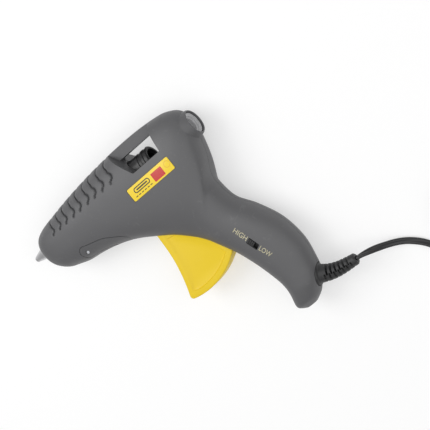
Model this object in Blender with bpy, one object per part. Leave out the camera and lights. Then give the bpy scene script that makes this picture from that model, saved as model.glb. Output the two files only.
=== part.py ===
"""Hot-melt glue gun with a see-through barrel window, lying on its right side.

Frame: +X runs along the barrel from the nozzle to the glue-stick inlet, +Y points to
the top of the gun and +Z comes out of its left side. Lengths below are millimetres, and
z is counted from the plane where the two housing halves meet, until at() makes metres.
"""
import math

import bmesh
import bpy
from mathutils import Matrix, Vector

MM = 0.001
HALF_THICKNESS = 21.0       # the gun's widest half, so its right side touches the ground
GAP = 0.3                   # air left between pieces that touch
SEAM = 0.15                 # half of the gap between the two housing halves
WALL = 2.4                  # housing wall
THROUGH = 40.0              # a cutter that goes right through the gun reaches this far out
OVER_WALL = 30.0            # a boss reaches this far out before it is trimmed to the wall
BARREL_Y = 72.5             # height of the barrel axis

# Barrel line, front to rear
NOZZLE_TIP_X = -116.5
NOSE_X = -101.5
WINDOW_REAR_X = 50.5
INLET_X = 82.0
WINDOW_FRONT_TOP = (3.5, 99.0)
WINDOW_FRONT_FOOT = (20.0, 72.0)
STICK_BORE = 6.0            # radius that takes an 11.2 mm glue stick
SEAT_BORE = 12.8            # housing bore round the insulators, radius
CARRIAGE_BORE = 11.3        # housing bore that the carriage slides in, radius
GUIDE_BORE = 8.5            # housing bore round the inlet guide, radius
GUIDE_HEAD_BORE = 9.7       # and where the guide's head sits
NOZZLE_BORE = 7.3           # radius
CHAMBER_RADIUS = 8.4
NOZZLE_RADIUS = 6.7
CHANNEL = 3.2               # where the molten glue leaves the chamber, radius
SLEEVE_RADIUS = 9.2
INSULATOR_RADIUS = 12.4
STRAP_FOOT_Y = 88.2         # the strap over the window: its lower face and half width
STRAP_HALF_WIDTH = 5.0

# Trigger and feed
TRIGGER_PIVOT = (-2.0, 29.5)
TRIGGER_RADIUS = 68.0
TRIGGER_HALF_WIDTH = 7.0
DRIVE_ARM = 27.5            # pivot to drive pin
DRIVE_ARM_LEAN = 9.0        # degrees that the arm leans back at rest
CARRIAGE_REAR_X = 34.5
CARRIAGE_LENGTH = 36.0
CARRIAGE_RADIUS = 10.8
JAW_PIVOT = (16.0, 57.0)
SPRING_Y = 58.0             # height of the return spring's line

# Pins, as radii. Each runs in a hole that is wider all round by GAP.
TRIGGER_PIN = 2.0
DRIVE_PIN = 1.9
JAW_PIN = 1.2
STAND_PIN = 1.4
TRIGGER_PIN_REACH = 12.8    # half its length

# Fold-out stand
STAND_PIVOT = (-62.5, 48.5)
STAND_EYE = 6.3
STAND_THICKNESS = 3.1
STAND_WEB_X = -40.0
STAND_INNER_Z = 9.7
STAND_TOP = [(-62.0, 54.4), (-51.0, 51.6), (-42.0, 49.0), (-35.3, 45.2), (-28.0, 40.5), (-24.5, 36.5)]

# Handle switch, its slot runs down the handle
SWITCH_CENTRE = (61.0, -30.7)
HANDLE_DOWN = Vector((0.319, -0.948, 0.0))
HANDLE_BACK = Vector((0.948, 0.319, 0.0))

# Housing screws, put in from the right side: heads and tips as z
HOUSING_SCREWS = [(-84.0, 51.0), (-40.0, 88.0), (62.0, 87.2), (48.0, 34.0), (73.0, -18.0), (57.5, -88.0)]
BOSS_RADIUS = 4.6
SCREW_HEAD_Z = -10.7
SCREW_HEAD_RADIUS = 2.9
SCREW_HEAD_HEIGHT = 2.3
SCREW_TIP_Z = 8.8
SCREW_RADIUS = 1.45

# Cord clamp and the leads inside
CLAMP_CENTRE = (65.2, -65.5)
CLAMP_ACROSS = Vector((0.95, 0.31, 0.0))
CLAMP_SCREW_OUT = 6.0       # each clamp screw's distance from the middle
CLAMP_SCREW_RADIUS = 1.1
LEAD_RADIUS = 0.95
INNER_CORD_RADIUS = 2.5
DIODE_RADIUS = 1.5

# Strain relief, from inside the handle to its tip
RELIEF_START = Vector((81.0, -82.0, 0.0))
RELIEF_DIRECTION = Vector((0.88, -0.47, 0.0)).normalized()
RELIEF_FLANGE = 9.3         # radii of its flange, its root and its tip
RELIEF_ROOT = 7.7
RELIEF_TIP = 4.7
RELIEF_PATH = [(82.5, -82.8, 0), (88.5, -85.6, 0), (95.5, -87.7, 0), (103.0, -88.9, 0), (114.4, -89.9, 0)]

# Cord: route points, then a flat coil and the plug beside it
CORD_DIAMETER = 5.6
CORD_ROUTE = [
    (115.0, -89.9, 0.0), (119.4, -90.3, -0.3), (124.2, -91.5, -2.5), (128.6, -93.2, -6.2),
    (133.0, -95.4, -10.5), (138.3, -98.1, -14.5), (143.2, -100.8, -17.1), (148.4, -104.0, -18.1),
    (154.0, -108.3, -18.1), (158.6, -112.8, -18.1), (162.8, -118.5, -18.1), (167.6, -126.4, -18.1),
    (173.6, -134.2, -18.1), (179.4, -140.2, -18.1), (184.2, -144.4, -18.1),
]
COIL_CENTRE = (218.0, -121.0)
COIL_RADIUS = 32.0
COIL_HALF_WIDTH = 6.0
COIL_HEIGHT = 12.0
TAIL_ROUTE = [
    (242.5, -155.0, -16.0), (247.5, -157.0, -15.6), (254.0, -157.6, -14.8), (261.0, -155.4, -14.2),
    (266.0, -149.6, -14.0), (268.6, -142.4, -14.0), (269.8, -135.4, -14.0),
]
PLUG_DIRECTION = Vector((0.10, 0.995, 0.0)).normalized()
PLUG_HEIGHT = 14.0
PLUG_FORM = [(0, 3.6), (9, 4.4), (13, 10.6), (29, 12.4)]    # along it, and its half width
BLADE_OUT = 6.35            # each blade's distance from the plug's middle
BLADE_LENGTH = 16.0
BLADE_THICKNESS = 1.5

# The housing's sections: lower or front point, upper or rear point, half thickness
SECTIONS = [
    ((-101.5, 62.0), (-101.5, 80.0), 9.6), ((-100.0, 57.5), (-100.0, 83.0), 12.4),
    ((-96.5, 53.0), (-96.5, 86.2), 15.0), ((-90.0, 48.2), (-90.0, 88.6), 17.2),
    ((-82.0, 45.4), (-82.0, 90.2), 18.6), ((-72.0, 42.4), (-72.0, 91.6), 19.6),
    ((-60.0, 40.9), (-60.0, 93.3), 20.3), ((-45.0, 37.9), (-45.0, 95.0), 20.9),
    ((-30.0, 33.2), (-30.0, 96.3), 21.17), ((-18.0, 27.8), (-17.0, 97.2), 21.17),
    ((-9.5, 22.9), (-4.0, 97.8), 21.17), ((-3.5, 19.0), (10.0, 98.1), 21.17),
    ((2.0, 15.6), (24.0, 97.9), 21.17), ((6.5, 12.4), (38.0, 97.5), 21.17),
    ((10.5, 9.0), (50.0, 96.6), 21.17), ((14.0, 5.7), (60.0, 95.1), 21.17),
    ((17.0, 2.8), (69.0, 92.3), 20.9), ((19.5, 0.2), (75.5, 88.2), 20.4),
    ((21.6, -2.2), (79.2, 82.0), 19.8), ((23.4, -4.3), (79.8, 72.0), 19.2),
    ((25.0, -6.1), (77.5, 60.0), 18.7), ((26.5, -7.8), (73.0, 49.6), 18.3),
    ((27.9, -9.6), (68.0, 41.5), 18.0), ((29.3, -11.6), (64.4, 33.5), 17.7),
    ((30.7, -13.8), (63.0, 25.0), 17.4), ((32.3, -16.4), (63.4, 16.5), 17.1),
    ((34.2, -19.6), (66.0, 8.0), 16.9), ((36.4, -23.4), (71.0, 0.3), 16.8),
    ((38.6, -27.6), (77.0, -8.2), 16.9), ((40.6, -32.0), (82.8, -18.3), 17.0),
    ((42.6, -36.6), (87.2, -29.3), 17.0), ((44.9, -42.2), (89.9, -41.0), 17.0),
    ((47.3, -49.2), (90.4, -52.0), 16.9), ((49.6, -56.4), (89.3, -62.5), 16.6),
    ((51.6, -64.0), (87.0, -71.5), 16.3), ((53.0, -72.0), (84.6, -78.5), 16.0),
    ((52.7, -80.0), (81.2, -84.4), 15.4), ((51.0, -86.0), (78.0, -88.6), 14.2),
    ((49.4, -91.0), (75.0, -91.9), 12.2), ((50.6, -95.0), (71.5, -94.9), 9.0),
    ((55.5, -98.1), (65.5, -98.0), 4.5),
]
SECTION_STEPS = 11          # facets over one half of a section; odd, so its middle is flat
SECTION_POWER = 2.4         # 2 is an ellipse, more is squarer

# Facets round a circle
BORE_FACETS = 28            # barrel bores in the housing
TURNED_FACETS = 24          # turned pieces in the barrel
BOSS_FACETS = 12            # bosses, recesses and pivot holes
HOLE_FACETS = 10            # pins and small holes


# ---------------------------------------------------------------- making meshes

def at(point):
    """A point of the design, in metres above the ground."""
    x, y, z = point
    return Vector((x, y, z + HALF_THICKNESS)) * MM


def finish(name, colour, roughness, metallic=0.0):
    material = bpy.data.materials.get(name)
    if material is None:
        material = bpy.data.materials.new(name)
        material.use_nodes = True
        shader = material.node_tree.nodes["Principled BSDF"]
        shader.inputs["Base Color"].default_value = (*colour, 1.0)
        shader.inputs["Roughness"].default_value = roughness
        shader.inputs["Metallic"].default_value = metallic
    return material


def grey_shell():
    return finish("grey_shell", (0.13, 0.13, 0.135), 0.55)


def yellow_plastic():
    return finish("yellow_plastic", (0.85, 0.62, 0.04), 0.45)


def black_plastic():
    return finish("black_plastic", (0.012, 0.012, 0.013), 0.4)


def black_rubber():
    return finish("black_rubber", (0.02, 0.02, 0.021), 0.6)


def light_plastic():
    return finish("light_plastic", (0.42, 0.42, 0.43), 0.5)


def brown_phenolic():
    return finish("brown_phenolic", (0.25, 0.12, 0.05), 0.6)


def red_silicone():
    return finish("red_silicone", (0.45, 0.07, 0.04), 0.5)


def cast_aluminium():
    return finish("cast_aluminium", (0.62, 0.62, 0.64), 0.45, 1.0)


def zinc_steel():
    return finish("zinc_steel", (0.55, 0.55, 0.56), 0.3, 1.0)


def brass():
    return finish("brass", (0.75, 0.58, 0.25), 0.3, 1.0)


def solid(name, points, faces, material):
    """A closed body from points in the design's millimetres."""
    mesh = bpy.data.meshes.new(name)
    mesh.from_pydata([at(p) for p in points], [], faces)
    work = bmesh.new()
    work.from_mesh(mesh)
    bmesh.ops.recalc_face_normals(work, faces=work.faces)
    work.to_mesh(mesh)
    work.free()
    mesh.materials.append(material)
    piece = bpy.data.objects.new(name, mesh)
    bpy.context.scene.collection.objects.link(piece)
    return piece


def prism(name, outline, low, high, material=None):
    """An outline in the XY plane, drawn out from z = low to z = high."""
    count = len(outline)
    points = [(x, y, low) for x, y in outline] + [(x, y, high) for x, y in outline]
    faces = [list(range(count))[::-1], list(range(count, 2 * count))]
    for i in range(count):
        j = (i + 1) % count
        faces.append([i, j, count + j, count + i])
    return solid(name, points, faces, material or grey_shell())


def box(name, low, high, material=None):
    outline = [(low[0], low[1]), (high[0], low[1]), (high[0], high[1]), (low[0], high[1])]
    return prism(name, outline, low[2], high[2], material)


def turned(name, profile, material=None, origin=(0.0, BARREL_Y, 0.0), along=(1, 0, 0), steps=32):
    """A profile of (distance, radius) turned about a line. It starts and ends on the
    line, or else its last point joins its first and the piece is a ring."""
    turn = Vector((1, 0, 0)).rotation_difference(Vector(along)).to_matrix()
    points = []
    rings = []
    for distance, radius in profile:
        spokes = 1 if radius == 0 else steps
        rings.append(range(len(points), len(points) + spokes))
        for i in range(spokes):
            angle = 2 * math.pi * i / steps
            arm = Vector((distance, radius * math.cos(angle), radius * math.sin(angle)))
            points.append(Vector(origin) + turn @ arm)
    pairs = list(zip(rings, rings[1:]))
    if profile[0][1] > 0:
        pairs.append((rings[-1], rings[0]))
    faces = []
    for one, two in pairs:
        for i in range(steps):
            j = (i + 1) % steps
            face = [one[i % len(one)], one[j % len(one)], two[j % len(two)], two[i % len(two)]]
            face = list(dict.fromkeys(face))
            if len(face) > 2:
                faces.append(face)
    return solid(name, points, faces, material or grey_shell())


def rod(name, start, end, radius, material=None, steps=20):
    """A round bar between two points."""
    start, end = Vector(start), Vector(end)
    length = (end - start).length
    profile = [(0, 0), (0, radius), (length, radius), (length, 0)]
    return turned(name, profile, material, start, (end - start).normalized(), steps)


def smooth_path(route, spacing):
    """Points of one smooth curve through the route's points, about spacing apart."""
    knots = [Vector(p) for p in route]
    knots = [2 * knots[0] - knots[1]] + knots + [2 * knots[-1] - knots[-2]]
    path = [knots[1]]
    for p0, p1, p2, p3 in zip(knots, knots[1:], knots[2:], knots[3:]):
        pieces = max(1, round((p2 - p1).length / spacing))
        for i in range(1, pieces + 1):
            t = i / pieces
            path.append(0.5 * (2 * p1 + (p2 - p0) * t + (2 * p0 - 5 * p1 + 4 * p2 - p3) * t ** 2
                               + (3 * p1 - p0 - 3 * p2 + p3) * t ** 3))
    return path


def tube(name, path, radius, material, sides=2):
    """A cord or wire: a bevelled curve with closed ends."""
    curve = bpy.data.curves.new(name, "CURVE")
    curve.dimensions = "3D"
    curve.bevel_depth = radius * MM
    curve.bevel_resolution = sides
    curve.use_fill_caps = True
    spline = curve.splines.new("POLY")
    spline.points.add(len(path) - 1)
    for point, place in zip(spline.points, path):
        point.co = (*at(place), 1.0)
    curve.materials.append(material)
    piece = bpy.data.objects.new(name, curve)
    bpy.context.scene.collection.objects.link(piece)
    return piece


def swept(name, path, radii, material, steps=24):
    """A round body of changing radius along a path in the XY plane."""
    points = []
    for i, centre in enumerate(path):
        forward = (path[min(i + 1, len(path) - 1)] - path[max(i - 1, 0)]).normalized()
        side = Vector((-forward.y, forward.x, 0.0))
        for k in range(steps):
            angle = 2 * math.pi * k / steps
            points.append(centre + radii[i] * (side * math.cos(angle) + Vector((0, 0, math.sin(angle)))))
    faces = [list(range(steps))[::-1], list(range(len(points) - steps, len(points)))]
    for i in range(len(path) - 1):
        for k in range(steps):
            j = (k + 1) % steps
            faces.append([i * steps + k, i * steps + j, (i + 1) * steps + j, (i + 1) * steps + k])
    return solid(name, points, faces, material)


def is_closed(mesh):
    work = bmesh.new()
    work.from_mesh(mesh)
    closed = len(work.faces) > 0 and all(edge.is_manifold for edge in work.edges)
    work.free()
    return closed


def combine(piece, tool, operation, keep_tool=False):
    """Union, difference or intersection of two closed bodies, kept in the first.
    The EXACT solver does it, or MANIFOLD where EXACT leaves an open edge."""
    modifier = piece.modifiers.new("combine", "BOOLEAN")
    modifier.operation = operation
    modifier.object = tool
    for solver in ("EXACT", "MANIFOLD"):
        modifier.solver = solver
        depsgraph = bpy.context.evaluated_depsgraph_get()
        result = bpy.data.meshes.new_from_object(piece.evaluated_get(depsgraph))
        if is_closed(result):
            break
    piece.modifiers.remove(modifier)
    piece.data = result
    if not keep_tool:
        bpy.data.objects.remove(tool)
    return piece


def join(piece, *tools):
    for tool in tools:
        combine(piece, tool, "UNION")
    return piece


def cut(piece, *tools):
    for tool in tools:
        combine(piece, tool, "DIFFERENCE")
    return piece


def trimmed(piece, tool):
    return combine(piece, tool, "INTERSECT")


def tidied(piece, name, material):
    """Gives a finished body its name and its one material."""
    piece.name = name
    piece.data.name = name
    piece.data.materials.clear()
    piece.data.materials.append(material)
    return piece


def put_origin(piece, point):
    """Moves a piece's origin onto its joint, leaving the piece where it is."""
    place = at(point)
    piece.data.transform(Matrix.Translation(-place))
    piece.location = place


def on_circle(centre, radius, degrees):
    """A point of a circle, its angle counted from straight down towards the rear."""
    angle = math.radians(degrees)
    return (centre[0] + radius * math.sin(angle), centre[1] - radius * math.cos(angle))


def arc(centre, radius, first, last, steps):
    return [on_circle(centre, radius, first + (last - first) * i / steps) for i in range(steps + 1)]


# ---------------------------------------------------------------- housing

def body_loft(inset, first=0, last=len(SECTIONS)):
    """The gun's outer form, made smaller all round by inset."""
    points = []
    around = 2 * SECTION_STEPS
    for lower, upper, half in SECTIONS[first:last]:
        lower, upper = Vector((*lower, 0.0)), Vector((*upper, 0.0))
        across = (upper - lower) / 2 - (upper - lower).normalized() * inset
        middle = (lower + upper) / 2
        for k in range(around):
            angle = 2 * math.pi * k / around
            c, s = math.cos(angle), math.sin(angle)
            out = math.copysign(abs(c) ** (2 / SECTION_POWER), c)
            rise = math.copysign(abs(s) ** (2 / SECTION_POWER), s) if abs(s) > 1e-9 else 0.0
            points.append(middle + across * out + Vector((0, 0, (half - inset) * rise)))
    faces = [list(range(around)), list(range(len(points) - around, len(points)))[::-1]]
    for i in range(last - first - 1):
        for k in range(around):
            j = (k + 1) % around
            faces.append([i * around + k, (i + 1) * around + k, (i + 1) * around + j, i * around + j])
    return solid("loft", points, faces, grey_shell())


def stand_outline(grow=0.0):
    """The side view of the stand's arms and web, ahead of its trim to the body."""
    eye = STAND_EYE + grow
    front = [(STAND_PIVOT[0] - eye * math.sin(a), STAND_PIVOT[1] + eye * math.cos(a))
             for a in (math.radians(d) for d in range(10, 180, 20))]
    top = [(x + grow, y + grow) for x, y in STAND_TOP]
    return front + [(STAND_PIVOT[0], 15.0), (top[-1][0], 15.0)] + top[::-1]


def stand_recess(grow, floor):
    """What the housing gives up to the folded stand, down to a floor under its skin."""
    recess = prism("recess", stand_outline(grow), -THROUGH, THROUGH)
    cut(recess, body_loft(floor))
    inner = STAND_INNER_Z - grow
    return cut(recess, box("keep", (-90, 0, -inner), (STAND_WEB_X - grow, 100, inner)))


def stand_eye_recess(grow, inner):
    x, y = STAND_PIVOT
    left = rod("eye", (x, y, inner), (x, y, THROUGH), STAND_EYE + grow, steps=20)
    right = rod("eye", (x, y, -inner), (x, y, -THROUGH), STAND_EYE + grow, steps=20)
    return [left, right]


def window_cutter():
    outline = [WINDOW_FRONT_TOP, WINDOW_FRONT_FOOT, (WINDOW_REAR_X, WINDOW_FRONT_FOOT[1]),
               (WINDOW_REAR_X, 110.0), (WINDOW_FRONT_TOP[0], 110.0)]
    window = prism("window", outline, -THROUGH, THROUGH)
    low, high = (-10, STRAP_FOOT_Y, -STRAP_HALF_WIDTH), (70, 120, STRAP_HALF_WIDTH)
    return cut(window, box("strap", low, high))


def housing_fillers():
    """Bosses, ribs and bulkheads, which are trimmed to the wall's inside."""
    fillers = [box("strap", (-4, STRAP_FOOT_Y, -STRAP_HALF_WIDTH), (56, 105, STRAP_HALF_WIDTH))]
    (x0, y0), (x1, y1) = WINDOW_FRONT_TOP, WINDOW_FRONT_FOOT
    bulkhead = [(x0, y0 + 1), (x0 - WALL - 1, y0 + 1), (x1 - WALL - 0.5, y1),
                (x1 - WALL - 0.5, 66.0), (x1, 66.0), (x1, y1)]
    fillers.append(prism("front_bulkhead", bulkhead, -OVER_WALL, OVER_WALL))
    walls = (("rear_bulkhead", WINDOW_REAR_X, WINDOW_REAR_X + WALL, 60), ("front_seat", -91, -87, 40),
             ("rear_seat", -46, -43, 61.5))
    for name, front, rear, foot in walls:
        fillers.append(box(name, (front, foot, -OVER_WALL), (rear, 105, OVER_WALL)))
    post = [(48, SPRING_Y, -OVER_WALL), (48, SPRING_Y, OVER_WALL)]
    fillers.append(rod("spring_post", *post, 2.2, steps=HOLE_FACETS))
    for side in (-1, 1):
        for x, y in HOUSING_SCREWS:
            fillers.append(rod("boss", (x, y, 0), (x, y, side * OVER_WALL), BOSS_RADIUS, steps=BOSS_FACETS))
        x, y = TRIGGER_PIVOT
        face = side * (TRIGGER_HALF_WIDTH + 0.6)
        fillers.append(rod("pivot_boss", (x, y, face), (x, y, side * OVER_WALL), 4.8, steps=BOSS_FACETS))
        x, y = STAND_PIVOT
        low, high = (x, y, side * 6.0), (x, y, side * 14.0)
        fillers.append(rod("stand_boss", low, high, STAND_EYE + 2.2, steps=16))
    for side in (-1, 1):
        x, y, _ = Vector((*CLAMP_CENTRE, 0)) + CLAMP_ACROSS * CLAMP_SCREW_OUT * side
        fillers.append(rod("clamp_boss", (x, y, -0.5), (x, y, -OVER_WALL), 2.9, steps=HOLE_FACETS))
    x, y = CLAMP_CENTRE
    fillers.append(rod("saddle", (x, y, -3.0), (x, y, -OVER_WALL), 4.5, steps=HOLE_FACETS))
    return fillers


def make_housing():
    """Both halves in one, with every hole in it."""
    housing = body_loft(0.0)
    boss = [(INLET_X - 24, 0), (INLET_X - 24, 17.0), (INLET_X - 14, 15.0), (INLET_X - 6, 12.6),
            (INLET_X - 1.2, 11.4), (INLET_X, 10.6), (INLET_X, 0)]
    join(housing, turned("boss", boss, steps=BORE_FACETS))
    cut(housing, body_loft(WALL, 2, len(SECTIONS) - 2))

    inside = body_loft(1.0)
    for filler in housing_fillers():
        combine(filler, inside, "INTERSECT", keep_tool=True)
        join(housing, filler)
    bpy.data.objects.remove(inside)

    floor = prism("floor", stand_outline(WALL), -THROUGH, THROUGH)
    trimmed(floor, body_loft(STAND_THICKNESS + GAP))
    cut(floor, body_loft(STAND_THICKNESS + GAP + 2.0))
    join(housing, floor)
    inlet_tube = [(INLET_X - 20, 0), (INLET_X - 20, 11.4), (INLET_X - 1, 11.0), (INLET_X - 1, 0)]
    join(housing, turned("inlet_tube", inlet_tube, steps=BORE_FACETS))

    cut(housing, window_cutter())
    bore = [(-20, 0), (-20, CARRIAGE_BORE), (35, CARRIAGE_BORE), (35, 0)]
    cut(housing, turned("carriage_bore", bore, steps=BORE_FACETS))
    guide = [(WINDOW_REAR_X - 5, 0), (WINDOW_REAR_X - 5, GUIDE_BORE), (INLET_X - 8, GUIDE_BORE),
             (INLET_X - 8, GUIDE_HEAD_BORE), (INLET_X + 5, GUIDE_HEAD_BORE), (INLET_X + 5, 0)]
    cut(housing, turned("guide_bore", guide, steps=BORE_FACETS))
    nozzle_bore = [(-110, 0), (-110, NOZZLE_BORE), (-94, NOZZLE_BORE), (-94, 0)]
    cut(housing, turned("nozzle_bore", nozzle_bore, steps=TURNED_FACETS))
    seat_bore = [(-96.5, 0), (-96.5, SEAT_BORE), (-40, SEAT_BORE), (-40, 0)]
    cut(housing, turned("seat_bore", seat_bore, steps=BORE_FACETS))
    cut(housing, box("heater_room", (-96, 54.5, -6.5), (-49, 66, 6.5)))

    slot = [(-9.2, 31.0)] + arc(TRIGGER_PIVOT, TRIGGER_RADIUS + 2.0, -7, 63, 14)
    slot.insert(1, (-9.2, -45.0))
    cut(housing, prism("trigger_slot", slot, -TRIGGER_HALF_WIDTH - 0.7, TRIGGER_HALF_WIDTH + 0.7))
    x, y = TRIGGER_PIVOT
    reach = TRIGGER_PIN_REACH + GAP
    cut(housing, rod("trigger_pin_hole", (x, y, -reach), (x, y, reach), TRIGGER_PIN + GAP, steps=BOSS_FACETS))

    cut(housing, stand_recess(GAP, STAND_THICKNESS + GAP))
    cut(housing, *stand_eye_recess(GAP, STAND_INNER_Z - GAP))
    x, y = STAND_PIVOT
    cut(housing, rod("stand_pin_hole", (x, y, -20), (x, y, 20), STAND_PIN + GAP, steps=HOLE_FACETS))

    for x, y in HOUSING_SCREWS:
        seat = SCREW_HEAD_Z + SCREW_HEAD_HEIGHT + 0.4
        wide = SCREW_HEAD_RADIUS + 0.4
        head = rod("head_recess", (x, y, -OVER_WALL), (x, y, seat), wide, steps=BOSS_FACETS)
        shank = rod("screw_hole", (x, y, -9.0), (x, y, 9.6), SCREW_RADIUS + 0.35, steps=HOLE_FACETS)
        cut(housing, head, shank)
    for side in (-1, 1):
        x, y, _ = Vector((*CLAMP_CENTRE, 0)) + CLAMP_ACROSS * CLAMP_SCREW_OUT * side
        hole = CLAMP_SCREW_RADIUS + GAP
        cut(housing, rod("clamp_hole", (x, y, 0.0), (x, y, -8.0), hole, steps=HOLE_FACETS))

    start = RELIEF_START - RELIEF_DIRECTION * 12
    end = RELIEF_START + RELIEF_DIRECTION * 14
    cut(housing, rod("relief_hole", start, end, RELIEF_FLANGE + 0.4, steps=TURNED_FACETS))
    cut(housing, handle_box("switch_slot", 10.0, 5.4, 12.0, 30.0))
    label = prism("label_recess", label_outline(0.4), 5, THROUGH)
    return cut(housing, cut(label, body_loft(0.5)))


def make_shells():
    housing = make_housing()
    other = housing.copy()
    other.data = housing.data.copy()
    bpy.context.scene.collection.objects.link(other)
    trimmed(housing, box("left", (-200, -200, SEAM), (200, 200, 60)))
    tidied(housing, "left_shell", grey_shell())
    trimmed(other, box("right", (-200, -200, -60), (200, 200, -SEAM)))
    tidied(other, "right_shell", grey_shell())


def label_outline(grow=0.0):
    return [(6.0 - grow, 53.8 - grow), (52.6 + grow, 53.8 - grow),
            (52.6 + grow, 65.2 + grow), (6.0 - grow, 65.2 + grow)]


def make_side_label():
    label = prism("side_label", label_outline(), 5, THROUGH)
    trimmed(label, body_loft(0.0))
    cut(label, body_loft(0.22))
    tidied(label, "side_label", finish("label_yellow", (0.9, 0.68, 0.02), 0.35))


def screw_mesh():
    """A pan-head cross screw about the line x = y = 0, its head at the bottom."""
    under_head = SCREW_HEAD_Z + SCREW_HEAD_HEIGHT
    profile = [(SCREW_HEAD_Z, 0), (SCREW_HEAD_Z, SCREW_HEAD_RADIUS * 0.7),
               (SCREW_HEAD_Z + SCREW_HEAD_HEIGHT * 0.4, SCREW_HEAD_RADIUS), (under_head, SCREW_HEAD_RADIUS),
               (under_head, SCREW_RADIUS), (SCREW_TIP_Z - 1.6, SCREW_RADIUS), (SCREW_TIP_Z, 0)]
    screw = turned("screw", profile, zinc_steel(), (0, 0, 0), (0, 0, 1), HOLE_FACETS)
    reach, half_slot = SCREW_HEAD_RADIUS * 0.75, 0.45
    deep = SCREW_HEAD_Z + SCREW_HEAD_HEIGHT * 0.55
    for x, y in ((reach, half_slot), (half_slot, reach)):
        cut(screw, box("driver_slot", (-x, -y, SCREW_HEAD_Z - 1), (x, y, deep)))
    return screw


def copies(pattern, places, base_name):
    """Repeats a piece made about x = y = 0 at each place, as its own object."""
    for number, (x, y) in enumerate(places, 1):
        piece = pattern.copy()
        piece.name = f"{base_name}_{number}"
        piece.location = Vector((x, y, 0.0)) * MM
        bpy.context.scene.collection.objects.link(piece)
    bpy.data.objects.remove(pattern)


def make_screws():
    copies(screw_mesh(), HOUSING_SCREWS, "housing_screw")


# ---------------------------------------------------------------- melting end

def make_nozzle():
    profile = [(NOZZLE_TIP_X, 1.0), (NOZZLE_TIP_X, 2.4), (NOZZLE_TIP_X + 1.2, 2.9), (NOSE_X - 1, 6.3),
               (NOSE_X + 0.5, NOZZLE_RADIUS), (-93.9, NOZZLE_RADIUS), (-93.9, CHANNEL), (-108.0, 2.0)]
    turned("nozzle", profile, cast_aluminium(), steps=TURNED_FACETS)


def make_melt_chamber():
    bore = [(-93.6, CHANNEL), (-93.6, NOZZLE_RADIUS), (-91.0, CHAMBER_RADIUS), (-50.0, CHAMBER_RADIUS),
            (-50.0, 7.6), (-40.0, 7.6), (-40.0, STICK_BORE), (-80.0, STICK_BORE - 0.3), (-88.0, CHANNEL)]
    chamber = turned("melt_chamber", bore, cast_aluminium(), steps=TURNED_FACETS)
    pocket = box("pocket", (-84.5, 56.3, -5.6), (-50.5, 66.0, 5.6))
    cut(pocket, box("slot", (-90, 57.7, -3.6), (-40, 63.3, 3.6)))
    around_bore = [(-90, 0), (-90, STICK_BORE + 1), (-45, STICK_BORE + 1), (-45, 0)]
    bored = turned("bored", around_bore, steps=TURNED_FACETS)
    join(chamber, cut(pocket, bored))
    tidied(chamber, "melt_chamber", cast_aluminium())


def make_heater():
    box("ptc_heater", (-83.5, 58.0, -3.3), (-51.5, 63.0, 3.3), finish("kapton", (0.5, 0.22, 0.03), 0.35))


def make_heater_clip():
    """A spring-steel band round the heater pocket and the chamber."""
    clip = box("clip", (-79.0, 55.3, -9.6), (-73.0, 82.3, 9.6))
    inner = box("inner", (-90, 56.0, -8.8), (-50, 81.5, 8.8))
    cut(clip, inner)
    tidied(clip, "heater_clip", zinc_steel())


def make_insulators():
    """Rings that carry the hot chamber in the housing."""
    rings = (("front_insulator", -92.0, -86.2, 8.75), ("rear_insulator", -47.5, -41.5, 7.95))
    for name, low, high, bore in rings:
        profile = [(low, bore), (low, INSULATOR_RADIUS), (high, INSULATOR_RADIUS), (high, bore)]
        turned(name, profile, brown_phenolic(), steps=TURNED_FACETS)


def make_stick_sleeve():
    inside = STICK_BORE + 0.2
    profile = [(-39.6, inside), (-39.6, SLEEVE_RADIUS), (-16.5, SLEEVE_RADIUS), (-14.0, SLEEVE_RADIUS + 0.8),
               (-14.0, SLEEVE_RADIUS - 1.0), (-18.0, inside)]
    turned("stick_sleeve", profile, red_silicone(), steps=TURNED_FACETS)
    low, high = SLEEVE_RADIUS + GAP, SLEEVE_RADIUS + 1.1
    band = [(-37.0, low), (-37.0, high), (-32.5, high), (-32.5, low)]
    turned("sleeve_clamp", band, zinc_steel(), steps=TURNED_FACETS)


def make_inlet_guide():
    """The stepped ring that leads the glue stick into the barrel."""
    rear = INLET_X - 1.6
    profile = [(WINDOW_REAR_X + 0.6, 6.6), (WINDOW_REAR_X + 0.6, 8.1), (INLET_X - 7.6, 8.1),
               (INLET_X - 7.6, 9.3), (rear, 9.3), (rear, 8.6), (rear - 1.0, 8.3), (rear - 1.2, 7.4),
               (rear - 2.4, 7.1), (rear - 2.8, STICK_BORE + 0.2), (WINDOW_REAR_X + 6, STICK_BORE + 0.2)]
    turned("inlet_guide", profile, light_plastic(), steps=TURNED_FACETS)


# ---------------------------------------------------------------- feed

def make_carriage():
    front, rear = CARRIAGE_REAR_X - CARRIAGE_LENGTH, CARRIAGE_REAR_X
    bore = STICK_BORE + 0.5
    profile = [(front, bore), (front, CARRIAGE_RADIUS - 0.6), (front + 0.6, CARRIAGE_RADIUS),
               (rear - 0.8, CARRIAGE_RADIUS), (rear, CARRIAGE_RADIUS - 0.8), (rear, bore + 1.6),
               (rear - 2.5, bore)]
    collar = turned("carriage", profile, black_plastic(), steps=BORE_FACETS)
    for side in (-1, 1):
        z0, z1 = sorted((side * 3.3, side * 6.4))
        join(collar, box("cheek", (front - 0.5, 52.8, z0), (20.2, 65.0, z1)))
    join(collar, box("web", (18.8, 54.0, -5.0), (20.2, 64.0, 5.0)))
    cut(collar, box("drive_slot", (-0.3, 53.9, -10), (4.9, 59.4, 10)))
    cut(collar, box("jaw_slot", (8.9, 50, -2.6), (18.5, 67.5, 2.6)))
    x, y = JAW_PIVOT
    cut(collar, rod("pin_hole", (x, y, -10), (x, y, 10), JAW_PIN + GAP, steps=HOLE_FACETS))
    tidied(collar, "carriage", black_plastic())


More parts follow.
